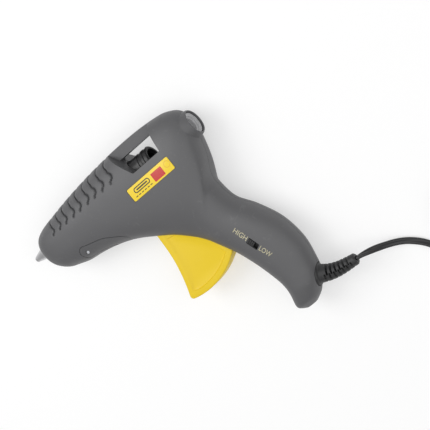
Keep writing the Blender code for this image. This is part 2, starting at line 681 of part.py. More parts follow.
def make_grip_jaw():
    """A toothed lever in the carriage that bites the glue stick."""
    x, y = JAW_PIVOT
    outline = [(x - 2.4, y - 2.0), (x - 0.5, y - 3.2), (x + 1.6, y - 2.4), (x + 2.2, y),
               (x - 0.2, y + 5.0), (x - 3.6, y + 8.4), (x - 4.4, y + 7.6), (x - 4.9, y + 8.2),
               (x - 5.6, y + 7.2), (x - 4.2, y + 4.0)]
    jaw = prism("grip_jaw", outline, -2.2, 2.2, zinc_steel())
    cut(jaw, rod("hole", (x, y, -5), (x, y, 5), JAW_PIN + GAP, steps=HOLE_FACETS))
    tidied(jaw, "grip_jaw", zinc_steel())
    rod("jaw_pin", (x, y, -6.2), (x, y, 6.2), JAW_PIN, zinc_steel(), HOLE_FACETS)
    put_origin(jaw, (x, y, 0.0))


def drive_pin_place():
    lean = math.radians(DRIVE_ARM_LEAN)
    return (TRIGGER_PIVOT[0] + DRIVE_ARM * math.sin(lean), TRIGGER_PIVOT[1] + DRIVE_ARM * math.cos(lean))


def make_trigger():
    """A sector about the pivot, with a drive arm that reaches up to the carriage."""
    front = [(-6.6, 27.0), (-7.3, 15.0), (-8.0, 6.0), (-9.3, -2.8), (-11.2, -11.1), (-13.5, -19.0),
             (-16.2, -26.7), (-18.6, -32.6), (-19.0, -34.6), (-18.2, -36.0)]
    rim = arc(TRIGGER_PIVOT, TRIGGER_RADIUS, -12.5, 36, 18)
    top = [(40.2, -20.5), (36.0, -10.0), (29.0, 0.0), (20.0, 9.5), (10.0, 19.0), (2.0, 26.5)]
    outline = front + rim + top
    trigger = prism("trigger", outline, -TRIGGER_HALF_WIDTH, TRIGGER_HALF_WIDTH, yellow_plastic())
    inner_rim = arc(TRIGGER_PIVOT, TRIGGER_RADIUS - 4.0, -12.0, 33.0, 12)
    pocket = [(0.0, 16.0), (-2.6, 6.0), (-5.2, -6.0), (-8.8, -19.0)]
    pocket += inner_rim + [(28.0, -4.0), (12.0, 13.0)]
    for side in (-1, 1):
        z0, z1 = sorted((side * (TRIGGER_HALF_WIDTH - 1.2), side * 12))
        cut(trigger, prism("side_pocket", pocket, z0, z1))
    x, y = TRIGGER_PIVOT
    join(trigger, rod("hub", (x, y, -TRIGGER_HALF_WIDTH), (x, y, TRIGGER_HALF_WIDTH), 5.0, steps=BOSS_FACETS))
    px, py = drive_pin_place()
    lean = Vector((px - x, py - y, 0)).normalized()
    eye, half_thickness = 3.4, 2.8
    side = Vector((-lean.y, lean.x, 0)) * eye
    arm = [(x + side.x, y + side.y), (px + side.x, py + side.y),
           (px - side.x, py - side.y), (x - side.x, y - side.y)]
    join(trigger, prism("arm", arm, -half_thickness, half_thickness))
    ends = [(px, py, -half_thickness), (px, py, half_thickness)]
    join(trigger, rod("arm_eye", *ends, eye, steps=BOSS_FACETS))
    cut(trigger, rod("pivot_hole", (x, y, -20), (x, y, 20), TRIGGER_PIN + GAP, steps=BOSS_FACETS))
    cut(trigger, rod("pin_hole", (px, py, -20), (px, py, 20), DRIVE_PIN + GAP, steps=BOSS_FACETS))
    tidied(trigger, "trigger", yellow_plastic())
    put_origin(trigger, (x, y, 0.0))
    ends = [(x, y, -TRIGGER_PIN_REACH), (x, y, TRIGGER_PIN_REACH)]
    rod("trigger_pin", *ends, TRIGGER_PIN, zinc_steel(), BOSS_FACETS)
    drive_pin = rod("drive_pin", (px, py, -8.0), (px, py, 8.0), DRIVE_PIN, zinc_steel(), BOSS_FACETS)
    put_origin(drive_pin, (x, y, 0.0))


def make_return_spring():
    """An extension spring from the carriage back to a post of the housing."""
    start, end, turns, radius, wire = 20.9, 45.0, 9, 2.4, 0.45
    steps = turns * 9
    path = []
    for i in range(steps + 1):
        angle = 2 * math.pi * turns * i / steps
        place = start + (end - start) * i / steps
        path.append(Vector((place, SPRING_Y + radius * math.cos(angle), radius * math.sin(angle))))
    tube("return_spring", path, wire, zinc_steel(), 0)


# ---------------------------------------------------------------- stand

def make_stand():
    """Two arms and a web that lie flush under the barrel when folded."""
    stand = prism("stand", stand_outline(), -THROUGH, THROUGH)
    trimmed(stand, body_loft(0.1))
    cut(stand, body_loft(STAND_THICKNESS))
    cut(stand, box("between", (-90, 0, -STAND_INNER_Z), (STAND_WEB_X, 100, STAND_INNER_Z)))
    for eye in stand_eye_recess(0.0, STAND_INNER_Z):
        join(stand, trimmed(eye, body_loft(0.3)))
    x, y = STAND_PIVOT
    cut(stand, rod("pin_hole", (x, y, -30), (x, y, 30), STAND_PIN + GAP, steps=HOLE_FACETS))
    tidied(stand, "stand", grey_shell())
    put_origin(stand, (x, y, 0.0))
    rod("stand_pin", (x, y, -14.8), (x, y, 14.8), STAND_PIN, zinc_steel(), HOLE_FACETS)


# ---------------------------------------------------------------- handle

def handle_box(name, length, width, low, high, material=None, offset=0.0):
    """A block lined up with the handle, about the switch."""
    centre = Vector((*SWITCH_CENTRE, 0)) + HANDLE_DOWN * offset
    corners = [(-1, -1), (1, -1), (1, 1), (-1, 1)]
    outline = []
    for a, b in corners:
        place = centre + HANDLE_DOWN * (a * length / 2) + HANDLE_BACK * (b * width / 2)
        outline.append((place.x, place.y))
    return prism(name, outline, low, high, material)


def make_switch():
    handle_box("switch_body", 15.0, 8.4, 3.6, 10.0, black_plastic())
    slider = handle_box("slider", 13.5, 8.0, 10.4, 12.2, black_plastic(), -1.7)
    knob = handle_box("knob", 6.0, 4.6, 12.0, 17.4, offset=-1.7)
    for k in (-1.6, 0.0, 1.6):
        cut(knob, handle_box("groove", 0.7, 9.0, 16.6, 20.0, offset=-1.7 + k))
    join(slider, knob)
    tidied(slider, "switch_slider", black_plastic())
    put_origin(slider, (*SWITCH_CENTRE, 12.0))


def make_wiring():
    """The cord's end inside the handle, its clamp, and the leads to the heater."""
    inner = [(74.0, -78.2, 0), (70.4, -75.2, 0), (66.8, -69.8, 0), (64.4, -62.0, 0), (62.8, -54.0, 0)]
    tube("inner_cord", smooth_path(inner, 4.0), INNER_CORD_RADIUS, black_rubber())
    white = finish("white_lead", (0.7, 0.7, 0.68), 0.45)
    black = finish("black_lead", (0.015, 0.015, 0.015), 0.45)
    neutral = [(61.4, -51.6, -3.4), (59.8, -44.0, -8.0), (57.0, -28.0, -11.0), (50.0, -8.0, -12.0),
               (38.0, 12.0, -12.0), (19.0, 31.0, -12.5), (-6.0, 42.5, -12.0), (-26.0, 49.5, -9.0),
               (-40.0, 55.2, -6.5), (-49.4, 58.4, -2.2)]
    tube("neutral_lead", smooth_path(neutral, 7.0), LEAD_RADIUS, white, 1)
    switched = [(58.3, -22.0, 8.0), (52.0, -6.0, 11.0), (38.0, 12.0, 12.0), (18.0, 33.0, 12.5),
                (-6.0, 43.5, 12.0), (-26.0, 49.5, 9.0), (-40.0, 55.2, 6.5), (-49.4, 58.4, 2.2)]
    tube("switched_lead", smooth_path(switched, 7.0), LEAD_RADIUS, black, 1)
    live = [(63.6, -51.6, 3.4), (64.6, -46.0, 5.4), (63.8, -39.4, 7.0)]
    tube("live_lead", smooth_path(live, 3.0), LEAD_RADIUS, black, 1)
    place = Vector((*SWITCH_CENTRE, 7.0)) - HANDLE_BACK * 6.6
    ends = [place - HANDLE_DOWN * 4, place + HANDLE_DOWN * 4]
    rod("dropping_diode", *ends, DIODE_RADIUS, black_plastic(), HOLE_FACETS)


def make_cord_clamp():
    centre = Vector((*CLAMP_CENTRE, 0))
    along = Vector((-CLAMP_ACROSS.y, CLAMP_ACROSS.x, 0))
    outline = []
    for a, b in ((-1, -1), (1, -1), (1, 1), (-1, 1)):
        corner = centre + CLAMP_ACROSS * (9.0 * a) + along * (2.8 * b)
        outline.append((corner.x, corner.y))
    bar = prism("cord_clamp", outline, INNER_CORD_RADIUS + 0.4, 5.2, brown_phenolic())
    places = [(centre + CLAMP_ACROSS * CLAMP_SCREW_OUT * side).to_2d() for side in (-1, 1)]
    for x, y in places:
        cut(bar, rod("hole", (x, y, 0), (x, y, 10), 1.5, steps=HOLE_FACETS))
    tidied(bar, "cord_clamp", brown_phenolic())
    profile = [(-7.4, 0), (-6.4, CLAMP_SCREW_RADIUS), (5.5, CLAMP_SCREW_RADIUS), (5.5, 2.4), (6.8, 2.4),
               (7.4, 1.6), (7.4, 0)]
    screw = turned("screw", profile, zinc_steel(), (0, 0, 0), (0, 0, 1), HOLE_FACETS)
    copies(screw, places, "clamp_screw")


def make_strain_relief():
    inner = RELIEF_START - RELIEF_DIRECTION * 6.5
    path = [inner, inner + RELIEF_DIRECTION * 0.8] + smooth_path(RELIEF_PATH, 3.0)
    first = 2
    radii = [RELIEF_FLANGE - 0.7, RELIEF_FLANGE]
    for i in range(first, len(path)):
        share = (i - first) / (len(path) - 1 - first)
        radii.append(RELIEF_ROOT + (RELIEF_TIP - RELIEF_ROOT) * share ** 0.8)
    radii[first] = RELIEF_FLANGE
    path.insert(first + 1, path[first] + RELIEF_DIRECTION * 0.5)
    radii.insert(first + 1, RELIEF_ROOT)
    swept("strain_relief", path, radii, black_rubber(), 20)


# ---------------------------------------------------------------- cord and plug

def make_cord():
    radius = CORD_DIAMETER / 2
    tube("cord_tube", smooth_path(CORD_ROUTE, 9.0), radius, black_rubber(), 2)
    x, y = COIL_CENTRE
    low, high = COIL_RADIUS - COIL_HALF_WIDTH, COIL_RADIUS + COIL_HALF_WIDTH
    edge = 1.5
    profile = [(0, low + edge), (0, high - edge), (edge, high), (COIL_HEIGHT - edge, high),
               (COIL_HEIGHT, high - edge), (COIL_HEIGHT, low + edge), (COIL_HEIGHT - edge, low), (edge, low)]
    turned("cord_coil", profile, black_rubber(), (x, y, -HALF_THICKNESS), (0, 0, 1), 32)
    tube("cord_tail", smooth_path(TAIL_ROUTE, 9.0), radius, black_rubber(), 2)


def make_plug():
    """A polarised two-blade plug lying on its flat side."""
    end = Vector(TAIL_ROUTE[-1]) + PLUG_DIRECTION * GAP
    end.z = PLUG_HEIGHT / 2 - HALF_THICKNESS
    side = Vector((PLUG_DIRECTION.y, -PLUG_DIRECTION.x, 0.0))
    right = [end + PLUG_DIRECTION * along + side * half for along, half in PLUG_FORM]
    left = [end + PLUG_DIRECTION * along - side * half for along, half in PLUG_FORM]
    shape = [(p.x, p.y) for p in right + left[::-1]]
    low, high = 0.1 - HALF_THICKNESS, PLUG_HEIGHT - HALF_THICKNESS
    body = prism("plug_body", shape, low, high, black_rubber())
    bevel = body.modifiers.new("soft_edges", "BEVEL")
    bevel.width = 1.6 * MM
    bevel.segments = 2
    face = end + PLUG_DIRECTION * (PLUG_FORM[-1][0] + GAP)
    half = side * BLADE_THICKNESS / 2
    reach = PLUG_DIRECTION * BLADE_LENGTH
    blades = (("plug_blade_narrow", -BLADE_OUT, 3.15), ("plug_blade_wide", BLADE_OUT, 3.95))
    for name, across, half_width in blades:
        root = face + side * across
        blade = [(p.x, p.y) for p in (root - half, root + half, root + reach + half, root + reach - half)]
        prism(name, blade, end.z - half_width, end.z + half_width, brass())


def main():
    for old in list(bpy.data.objects):
        bpy.data.objects.remove(old)
    make_shells()
    make_side_label()
    make_screws()
    make_nozzle()
    make_melt_chamber()
    make_heater()
    make_heater_clip()
    make_insulators()
    make_stick_sleeve()
    make_inlet_guide()
    make_carriage()
    make_grip_jaw()
    make_trigger()
    make_return_spring()
    make_stand()
    make_switch()
    make_wiring()
    make_cord_clamp()
    make_strain_relief()
    make_cord()
    make_plug()


main()
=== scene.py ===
# Looks of a hot-melt glue gun that lies on its right side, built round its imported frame.
import math

import bmesh
import bpy
from mathutils import Matrix, Vector
from mathutils.bvhtree import BVHTree
from mathutils.geometry import tessellate_polygon


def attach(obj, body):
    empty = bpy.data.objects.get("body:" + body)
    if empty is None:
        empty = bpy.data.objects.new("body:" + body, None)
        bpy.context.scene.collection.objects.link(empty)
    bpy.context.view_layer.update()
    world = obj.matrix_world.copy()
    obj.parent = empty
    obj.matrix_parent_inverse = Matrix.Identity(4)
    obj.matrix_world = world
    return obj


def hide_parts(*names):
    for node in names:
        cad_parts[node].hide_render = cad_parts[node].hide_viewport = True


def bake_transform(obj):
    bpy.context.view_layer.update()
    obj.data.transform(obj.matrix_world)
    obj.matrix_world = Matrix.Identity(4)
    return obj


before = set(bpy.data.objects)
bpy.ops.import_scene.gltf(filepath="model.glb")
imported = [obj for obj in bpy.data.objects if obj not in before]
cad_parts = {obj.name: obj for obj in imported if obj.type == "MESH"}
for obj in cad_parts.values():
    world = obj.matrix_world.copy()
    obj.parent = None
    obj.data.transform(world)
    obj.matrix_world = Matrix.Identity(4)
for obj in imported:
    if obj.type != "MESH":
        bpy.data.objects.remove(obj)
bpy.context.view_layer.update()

# ------------------------------------------------------------------ camera
# A product picture taken from the gun's left and a little behind, with the camera rolled
# so that the barrel points down to the left. The lens is a long one, a metre away.
TARGET = Vector((0.043, 0.0055, 0.021))
DISTANCE = 1.0
SWING = math.radians(27.0)
ROLL = math.radians(39.4)
LENS_MM = 104.65

back = Vector((math.sin(SWING), 0.0, math.cos(SWING)))
level = Vector((math.cos(SWING), 0.0, -math.sin(SWING)))
right = level * math.cos(ROLL) - Vector((0.0, math.sin(ROLL), 0.0))
up = level * math.sin(ROLL) + Vector((0.0, math.cos(ROLL), 0.0))
camera = bpy.data.objects.new("camera", bpy.data.cameras.new("camera"))
camera.data.lens = LENS_MM
camera.data.sensor_width = 36.0
turn = Matrix((right, up, back)).transposed().to_4x4()
camera.matrix_world = Matrix.Translation(TARGET + back * DISTANCE) @ turn
bpy.context.scene.collection.objects.link(camera)
bpy.context.scene.camera = camera

# ------------------------------------------------------------------ the lead
# A flat twin flex, two round cores side by side in one black sheath, 5.6 mm wide and
# nominally 1.5 m long. It turns over as it falls to the ground, and what is left of it is wound
# on its edge into a coil of two layers, with the plug beside it.
MM = 0.001
LEAD_WIDTH = 5.6 * MM
CORE_RADIUS = 1.45 * MM
CORE_OFFSET = LEAD_WIDTH / 2 - CORE_RADIUS
LEAD_OUT = [
    (0.1150, -0.0899, 0.0210), (0.1194, -0.0903, 0.0207), (0.1242, -0.0915, 0.0185),
    (0.1286, -0.0932, 0.0148), (0.1330, -0.0954, 0.0105), (0.1383, -0.0981, 0.0065),
    (0.1432, -0.1008, 0.0039), (0.1484, -0.1040, 0.0029), (0.1540, -0.1083, 0.0029),
    (0.1586, -0.1128, 0.0029), (0.1628, -0.1185, 0.0029), (0.1676, -0.1264, 0.0029),
    (0.1736, -0.1342, 0.0029), (0.1794, -0.1402, 0.0029), (0.1842, -0.1444, 0.0029),
]
LEAD_TAIL = [
    (0.2280, -0.1574, 0.0079), (0.2380, -0.1573, 0.0064), (0.2475, -0.1570, 0.0054),
    (0.2540, -0.1576, 0.0062), (0.2610, -0.1554, 0.0068), (0.2660, -0.1496, 0.0070),
    (0.2686, -0.1424, 0.0070), (0.2698, -0.1354, 0.0070),
]
COIL_CENTRE = Vector((0.2180, -0.1210, 0.0))
COIL_START = math.radians(225)
COIL_LAYERS = [(36.4, 2.9), (33.2, 2.9), (30.0, 2.9), (30.0, 8.5), (33.2, 8.5), (36.4, 8.5)]
POINTS_A_TURN = 24


def eased(share):
    share = min(1.0, max(0.0, share))
    return share * share * (3 - 2 * share)


def coil_points():
    """Six turns that wind in along the ground and out again on top, then the way off."""
    points = []
    turns = COIL_LAYERS + [COIL_LAYERS[-1]]
    for i, ((radius, height), (next_radius, next_height)) in enumerate(zip(turns, turns[1:])):
        for k in range(POINTS_A_TURN):
            share = k / POINTS_A_TURN
            change = eased((share - 0.8) / 0.2)
            r = radius + (next_radius - radius) * change
            if i == 0:
                r += 3.9 * (1 - eased(share / 0.14))
            z = height + (next_height - height) * change
            angle = COIL_START + 2 * math.pi * (i + share)
            points.append(COIL_CENTRE + Vector((r * math.cos(angle), r * math.sin(angle), z)) * MM)
    radius, height = COIL_LAYERS[-1]
    for k in range(4):
        angle = COIL_START + math.radians(45) * k / 3
        points.append(COIL_CENTRE + Vector((radius * math.cos(angle), radius * math.sin(angle), height)) * MM)
    return points


def smooth_line(knots, step):
    """Points about a step apart along the smooth curve through the knots."""
    knots = [Vector(p) for p in knots]
    knots = [2 * knots[0] - knots[1]] + knots + [2 * knots[-1] - knots[-2]]
    line = [knots[1]]
    for p0, p1, p2, p3 in zip(knots, knots[1:], knots[2:], knots[3:]):
        count = max(1, round((p2 - p1).length / step))
        for i in range(1, count + 1):
            t = i / count
            line.append(0.5 * (2 * p1 + (p2 - p0) * t + (2 * p0 - 5 * p1 + 4 * p2 - p3) * t ** 2
                               + (3 * p1 - p0 - 3 * p2 + p3) * t ** 3))
    return line


def new_piece(name, points, faces):
    """A mesh object with its faces pointing out."""
    mesh = bpy.data.meshes.new(name)
    mesh.from_pydata([tuple(p) for p in points], [], faces)
    work = bmesh.new()
    work.from_mesh(mesh)
    bmesh.ops.recalc_face_normals(work, faces=work.faces)
    work.to_mesh(mesh)
    work.free()
    piece = bpy.data.objects.new(name, mesh)
    bpy.context.scene.collection.objects.link(piece)
    return piece


def skin(name, rings):
    """A closed body over rings of points, with a cap at each end."""
    count = len(rings[0])
    points = [p for ring in rings for p in ring]
    faces = [list(range(count))[::-1], list(range(len(points) - count, len(points)))]
    for i in range(len(rings) - 1):
        for k in range(count):
            j = (k + 1) % count
            faces.append([i * count + k, i * count + j, (i + 1) * count + j, (i + 1) * count + k])
    return new_piece(name, points, faces)


def shaded(piece, degrees=35):
    """Smooth shading that keeps the edges sharper than this angle."""
    piece.data.shade_smooth()
    piece.data.set_sharp_from_angle(angle=math.radians(degrees))
    return piece


def wire(tree, kind, values=(), **settings):
    """Adds a node. values maps its inputs to numbers, colours or other nodes' outputs."""
    node = tree.nodes.new(kind)
    for key, value in settings.items():
        setattr(node, key, value)
    for key, value in dict(values).items():
        if isinstance(value, bpy.types.NodeSocket):
            tree.links.new(value, node.inputs[key])
        else:
            node.inputs[key].default_value = value
    return node


def effect(name, inputs, outputs):
    """An empty shader node group with its sockets, all of them numbers."""
    group = bpy.data.node_groups.new(name, "ShaderNodeTree")
    for socket, value in inputs.items():
        made = group.interface.new_socket(socket, in_out="INPUT", socket_type="NodeSocketFloat")
        made.default_value = value
    for socket in outputs:
        group.interface.new_socket(socket, in_out="OUTPUT", socket_type="NodeSocketFloat")
    return group, group.nodes.new("NodeGroupInput").outputs, group.nodes.new("NodeGroupOutput").inputs


def moulding_effect():
    """The fine spark-eroded grain of a mould, slow mottling, and small rubs."""
    group, given, out = effect("moulding", {"Grain": 2600.0, "Mottle": 28.0, "Rubs": 190.0},
                               ("Height", "Mottle", "Rubs"))
    place = wire(group, "ShaderNodeTexCoord").outputs["Object"]
    grain = wire(group, "ShaderNodeTexNoise", {"Vector": place, "Scale": given["Grain"], "Detail": 2.0})
    mottle = wire(group, "ShaderNodeTexNoise", {"Vector": place, "Scale": given["Mottle"], "Detail": 3.0})
    rubs = wire(group, "ShaderNodeTexNoise", {"Vector": place, "Scale": given["Rubs"], "Detail": 4.0,
                                              "Distortion": 1.2})
    spots = wire(group, "ShaderNodeMapRange", {"Value": rubs.outputs["Fac"], "From Min": 0.62,
                                               "From Max": 0.75})
    group.links.new(grain.outputs["Fac"], out["Height"])
    group.links.new(mottle.outputs["Fac"], out["Mottle"])
    group.links.new(spots.outputs["Result"], out["Rubs"])
    return group


MOULDING = moulding_effect()


def moulded(name, colour, deep, rough=(0.45, 0.6), depth=0.03, grain=2600.0, rub=(0.5, 0.5, 0.5),
            rubbed=0.05):
    """A moulded plastic or rubber: two close shades, changing gloss, grain and rubs."""
    material = bpy.data.materials.new(name)
    material.use_nodes = True
    tree = material.node_tree
    shader = tree.nodes["Principled BSDF"]
    look = wire(tree, "ShaderNodeGroup", node_tree=MOULDING)
    look.inputs["Grain"].default_value = grain
    tone = wire(tree, "ShaderNodeMix", {0: look.outputs["Mottle"], 6: (*deep, 1.0), 7: (*colour, 1.0)},
                data_type="RGBA")
    amount = wire(tree, "ShaderNodeMath", {0: look.outputs["Rubs"], 1: rubbed}, operation="MULTIPLY")
    worn = wire(tree, "ShaderNodeMix", {0: amount.outputs[0], 6: tone.outputs[2], 7: (*rub, 1.0)},
                data_type="RGBA")
    gloss = wire(tree, "ShaderNodeMapRange", {"Value": look.outputs["Mottle"], "From Min": 0.3,
                                              "From Max": 0.7, "To Min": rough[0], "To Max": rough[1]})
    bump = wire(tree, "ShaderNodeBump", {"Height": look.outputs["Height"], "Strength": 0.35,
                                         "Distance": depth * MM})
    tree.links.new(worn.outputs[2], shader.inputs["Base Color"])
    tree.links.new(gloss.outputs["Result"], shader.inputs["Roughness"])
    tree.links.new(bump.outputs["Normal"], shader.inputs["Normal"])
    return material


def finished(piece, material, body="housing", replaced=()):
    """Gives a piece its one material, its body, and the nodes that it stands for."""
    piece.data.materials.clear()
    piece.data.materials.append(material)
    if body:
        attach(piece, body)
    if replaced:
        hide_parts(*replaced)
    return piece


def lead_section():
    """Two cores side by side and the web between them, as (across, through) points."""
    lobe = []
    for i in range(11):
        angle = math.radians(-133.6 + 267.2 * i / 10)
        lobe.append((CORE_OFFSET + CORE_RADIUS * math.cos(angle), CORE_RADIUS * math.sin(angle)))
    return lobe + [(-x, -y) for x, y in lobe]


def lead_turn(distance):
    """How far the flat side has turned to face up, this far along the lead."""
    turned_up = eased((distance + 4 * MM) / (30 * MM))
    turned_back = eased((distance - 36 * MM) / (50 * MM))
    return math.radians(90) * turned_up * (1 - turned_back)


def lead_rings(line):
    rings = []
    distance = 0.0
    for i, centre in enumerate(line):
        ahead = (line[min(i + 1, len(line) - 1)] - line[max(i - 1, 0)]).normalized()
        side = ahead.cross(Vector((0, 0, 1))).normalized()
        rise = side.cross(ahead)
        turned = lead_turn(distance)
        across = rise * math.cos(turned) + side * math.sin(turned)
        through = ahead.cross(across)
        rings.append([centre + across * a + through * t for a, t in lead_section()])
        if i + 1 < len(line):
            distance += (line[i + 1] - centre).length
    return rings


lead_line = smooth_line(LEAD_OUT + coil_points() + LEAD_TAIL, 2.6 * MM)
lead = shaded(skin("lead", lead_rings(lead_line)), 60)
BLACK_RUBBER = moulded("black_rubber", (0.024, 0.024, 0.025), (0.016, 0.016, 0.017), (0.34, 0.5), 0.02,
                       1800.0)
finished(lead, BLACK_RUBBER, replaced=("cord_tube", "cord_coil", "cord_tail"))

# ------------------------------------------------------------------ plug
# A moulded-on two-blade plug that lies on its flat side, with a ribbed neck, waisted
# flanks to pull it by, and stamped brass blades, one wider than the other.
PLUG_AHEAD = Vector((0.10, 0.995, 0.0)).normalized()
PLUG_START = Vector(LEAD_TAIL[-1]) + PLUG_AHEAD * 0.3 * MM
PLUG_LENGTH = 29.0
PLUG_MIDDLE_Z = 7.05 * MM
PLUG_FORM = [
    (0.0, 3.0, 3.0), (0.4, 3.6, 3.6), (8.6, 4.4, 4.3), (10.0, 5.6, 5.0), (12.0, 9.4, 6.4), (13.6, 11.2, 6.7),
    (17.0, 11.5, 6.3), (21.0, 11.0, 5.9), (25.0, 11.4, 6.4), (27.6, 12.1, 6.7), (28.6, 12.1, 6.7),
    (29.0, 11.6, 6.3),
]


def form_at(form, distance):
    """The half width and half height of a form, straight between its stated places."""
    for (d0, w0, h0), (d1, w1, h1) in zip(form, form[1:]):
        if distance <= d1:
            t = (distance - d0) / (d1 - d0)
            return w0 + (w1 - w0) * t, h0 + (h1 - h0) * t
    return form[-1][1:]


def plug_rings():
    side = Vector((PLUG_AHEAD.y, -PLUG_AHEAD.x, 0.0))
    rings = []
    steps = 116
    for i in range(steps + 1):
        distance = PLUG_LENGTH * i / steps
        width, height = form_at(PLUG_FORM, distance)
        neck = 1.0 < distance < 9.0
        grip = 15.0 < distance < 25.0
        if neck and distance % 2.0 < 0.9:
            width, height = width - 0.7, height - 0.7
        if grip and distance % 2.0 < 0.8:
            height -= 0.35
            width -= 0.35
        power = 2 / (2.2 if distance < 10 else 5.0)
        middle = PLUG_START + PLUG_AHEAD * distance * MM
        middle.z = PLUG_MIDDLE_Z
        ring = []
        for k in range(56):
            angle = 2 * math.pi * k / 56
            c, s = math.cos(angle), math.sin(angle)
            across = math.copysign(abs(c) ** power, c) * width
            rise = math.copysign(abs(s) ** power, s) * height
            ring.append(middle + side * across * MM + Vector((0, 0, rise * MM)))
        rings.append(ring)
    return rings


def blade(name, across, half_width):
    """A flat blade with a chamfered tip and the hole that a contact springs into."""
    side = Vector((PLUG_AHEAD.y, -PLUG_AHEAD.x, 0.0))
    root = PLUG_START + (PLUG_AHEAD * (PLUG_LENGTH + 0.3) + side * across) * MM
    root.z = 7.0 * MM
    edge = [(0.0, -half_width), (14.4, -half_width), (15.9, -half_width + 1.3), (15.9, half_width - 1.3),
            (14.4, half_width), (0.0, half_width)]
    hole = [(12.0 + 1.5 * math.cos(a), 1.5 * math.sin(a)) for a in (math.tau * i / 20 for i in range(20))]
    loops = [[Vector((x, y, 0)) for x, y in edge], [Vector((x, y, 0)) for x, y in hole]]
    flat = edge + hole
    triangles = tessellate_polygon(loops)
    points = []
    for thick in (-0.72, 0.72):
        points += [root + (PLUG_AHEAD * x + Vector((0, 0, y)) + side * thick) * MM for x, y in flat]
    faces = [list(t) for t in triangles] + [[i + len(flat) for i in t[::-1]] for t in triangles]
    for first, count in ((0, len(edge)), (len(edge), len(hole))):
        for i in range(count):
            a, b = first + i, first + (i + 1) % count
            faces.append([a, b, b + len(flat), a + len(flat)])
    return shaded(new_piece(name, points, faces), 30)


def tool_marks_effect():
    """Fine marks drawn out along one axis, and a slow stain."""
    group, given, out = effect("tool_marks", {"Scale": 900.0, "X": 1.0, "Y": 1.0, "Z": 1.0},
                               ("Marks", "Stain"))
    place = wire(group, "ShaderNodeTexCoord").outputs["Object"]
    along = wire(group, "ShaderNodeCombineXYZ", {0: given["X"], 1: given["Y"], 2: given["Z"]})
    drawn = wire(group, "ShaderNodeVectorMath", {0: place, 1: along.outputs[0]}, operation="MULTIPLY")
    marks = wire(group, "ShaderNodeTexNoise", {"Vector": drawn.outputs[0], "Scale": given["Scale"],
                                               "Detail": 5.0})
    stain = wire(group, "ShaderNodeTexNoise", {"Vector": place, "Scale": 120.0, "Detail": 3.0})
    group.links.new(marks.outputs["Fac"], out["Marks"])
    group.links.new(stain.outputs["Fac"], out["Stain"])
    return group


TOOL_MARKS = tool_marks_effect()


def metal(name, colour, rough, scale=900.0, along=(1.0, 1.0, 1.0), dull=0.3):
    """A bare or plated metal. along is small on the axis that its marks are drawn out on."""
    material = bpy.data.materials.new(name)
    material.use_nodes = True
    tree = material.node_tree
    shader = tree.nodes["Principled BSDF"]
    shader.inputs["Metallic"].default_value = 1.0
    values = {"Scale": scale, "X": along[0], "Y": along[1], "Z": along[2]}
    look = wire(tree, "ShaderNodeGroup", node_tree=TOOL_MARKS)
    for key, value in values.items():
        look.inputs[key].default_value = value
    deep = [c * (1 - dull) for c in colour]
    tone = wire(tree, "ShaderNodeMix", {0: look.outputs["Stain"], 6: (*deep, 1.0), 7: (*colour, 1.0)},
                data_type="RGBA")
    gloss = wire(tree, "ShaderNodeMapRange", {"Value": look.outputs["Marks"], "From Min": 0.3,
                                              "From Max": 0.7,
                                              "To Min": rough - 0.08, "To Max": rough + 0.1})
    bump = wire(tree, "ShaderNodeBump", {"Height": look.outputs["Marks"], "Strength": 0.3,
                                         "Distance": 0.02 * MM})
    tree.links.new(tone.outputs[2], shader.inputs["Base Color"])
    tree.links.new(gloss.outputs["Result"], shader.inputs["Roughness"])
    tree.links.new(bump.outputs["Normal"], shader.inputs["Normal"])
    return material


BRASS = metal("stamped_brass", (0.78, 0.62, 0.3), 0.28, along=(1.0, 0.1, 1.0))
plug = shaded(skin("plug", plug_rings()), 50)
finished(plug, BLACK_RUBBER, replaced=("plug_body",))
narrow_blade = finished(blade("narrow_blade", -6.35, 3.15), BRASS, replaced=("plug_blade_narrow",))
wide_blade = finished(blade("wide_blade", 6.35, 3.95), BRASS, replaced=("plug_blade_wide",))

# ------------------------------------------------------------------ strain relief
# A tapered rubber sleeve that keeps the lead from kinking at the handle. A flange holds it
# in the housing, and slots cut in turn from its two sides let it flex.
HALF_THICKNESS = 21.0
RELIEF_START = Vector((81.0, -82.0, 0.0))
RELIEF_AHEAD = Vector((0.88, -0.47, 0.0)).normalized()
RELIEF_PATH = [(82.5, -82.8, 0), (88.5, -85.6, 0), (95.5, -87.7, 0), (103.0, -88.9, 0), (114.4, -89.9, 0)]
RELIEF_FLANGE, RELIEF_ROOT, RELIEF_TIP = 9.3, 7.7, 4.7
SLOT_PITCH = 3.8
SLOT_WIDTH = 1.5


def at(x, y, z):
    """A point of the design, counted in millimetres from the plane where the halves meet."""
    return Vector((x, y, z + HALF_THICKNESS)) * MM


def boolean(piece, tool, operation):
    """Union, difference or intersection with another closed body, which is used up."""
    modifier = piece.modifiers.new("boolean", "BOOLEAN")
    modifier.operation = operation
    modifier.object = tool
    for solver in ("MANIFOLD", "EXACT"):
        modifier.solver = solver
        graph = bpy.context.evaluated_depsgraph_get()
        result = bpy.data.meshes.new_from_object(piece.evaluated_get(graph))
        if len(result.polygons) > 0 and len(result.polygons) != len(piece.data.polygons):
            break
    piece.modifiers.remove(modifier)
    piece.data = result
    bpy.data.objects.remove(tool)
    return piece


def slab(name, outline, low, high):
    """An outline in the XY plane, drawn out from z = low to z = high."""
    return skin(name, [[at(x, y, z) for x, y in outline] for z in (low, high)])


def block(low, high):
    outline = [(low[0], low[1]), (high[0], low[1]), (high[0], high[1]), (low[0], high[1])]
    return slab("block", outline, low[2], high[2])


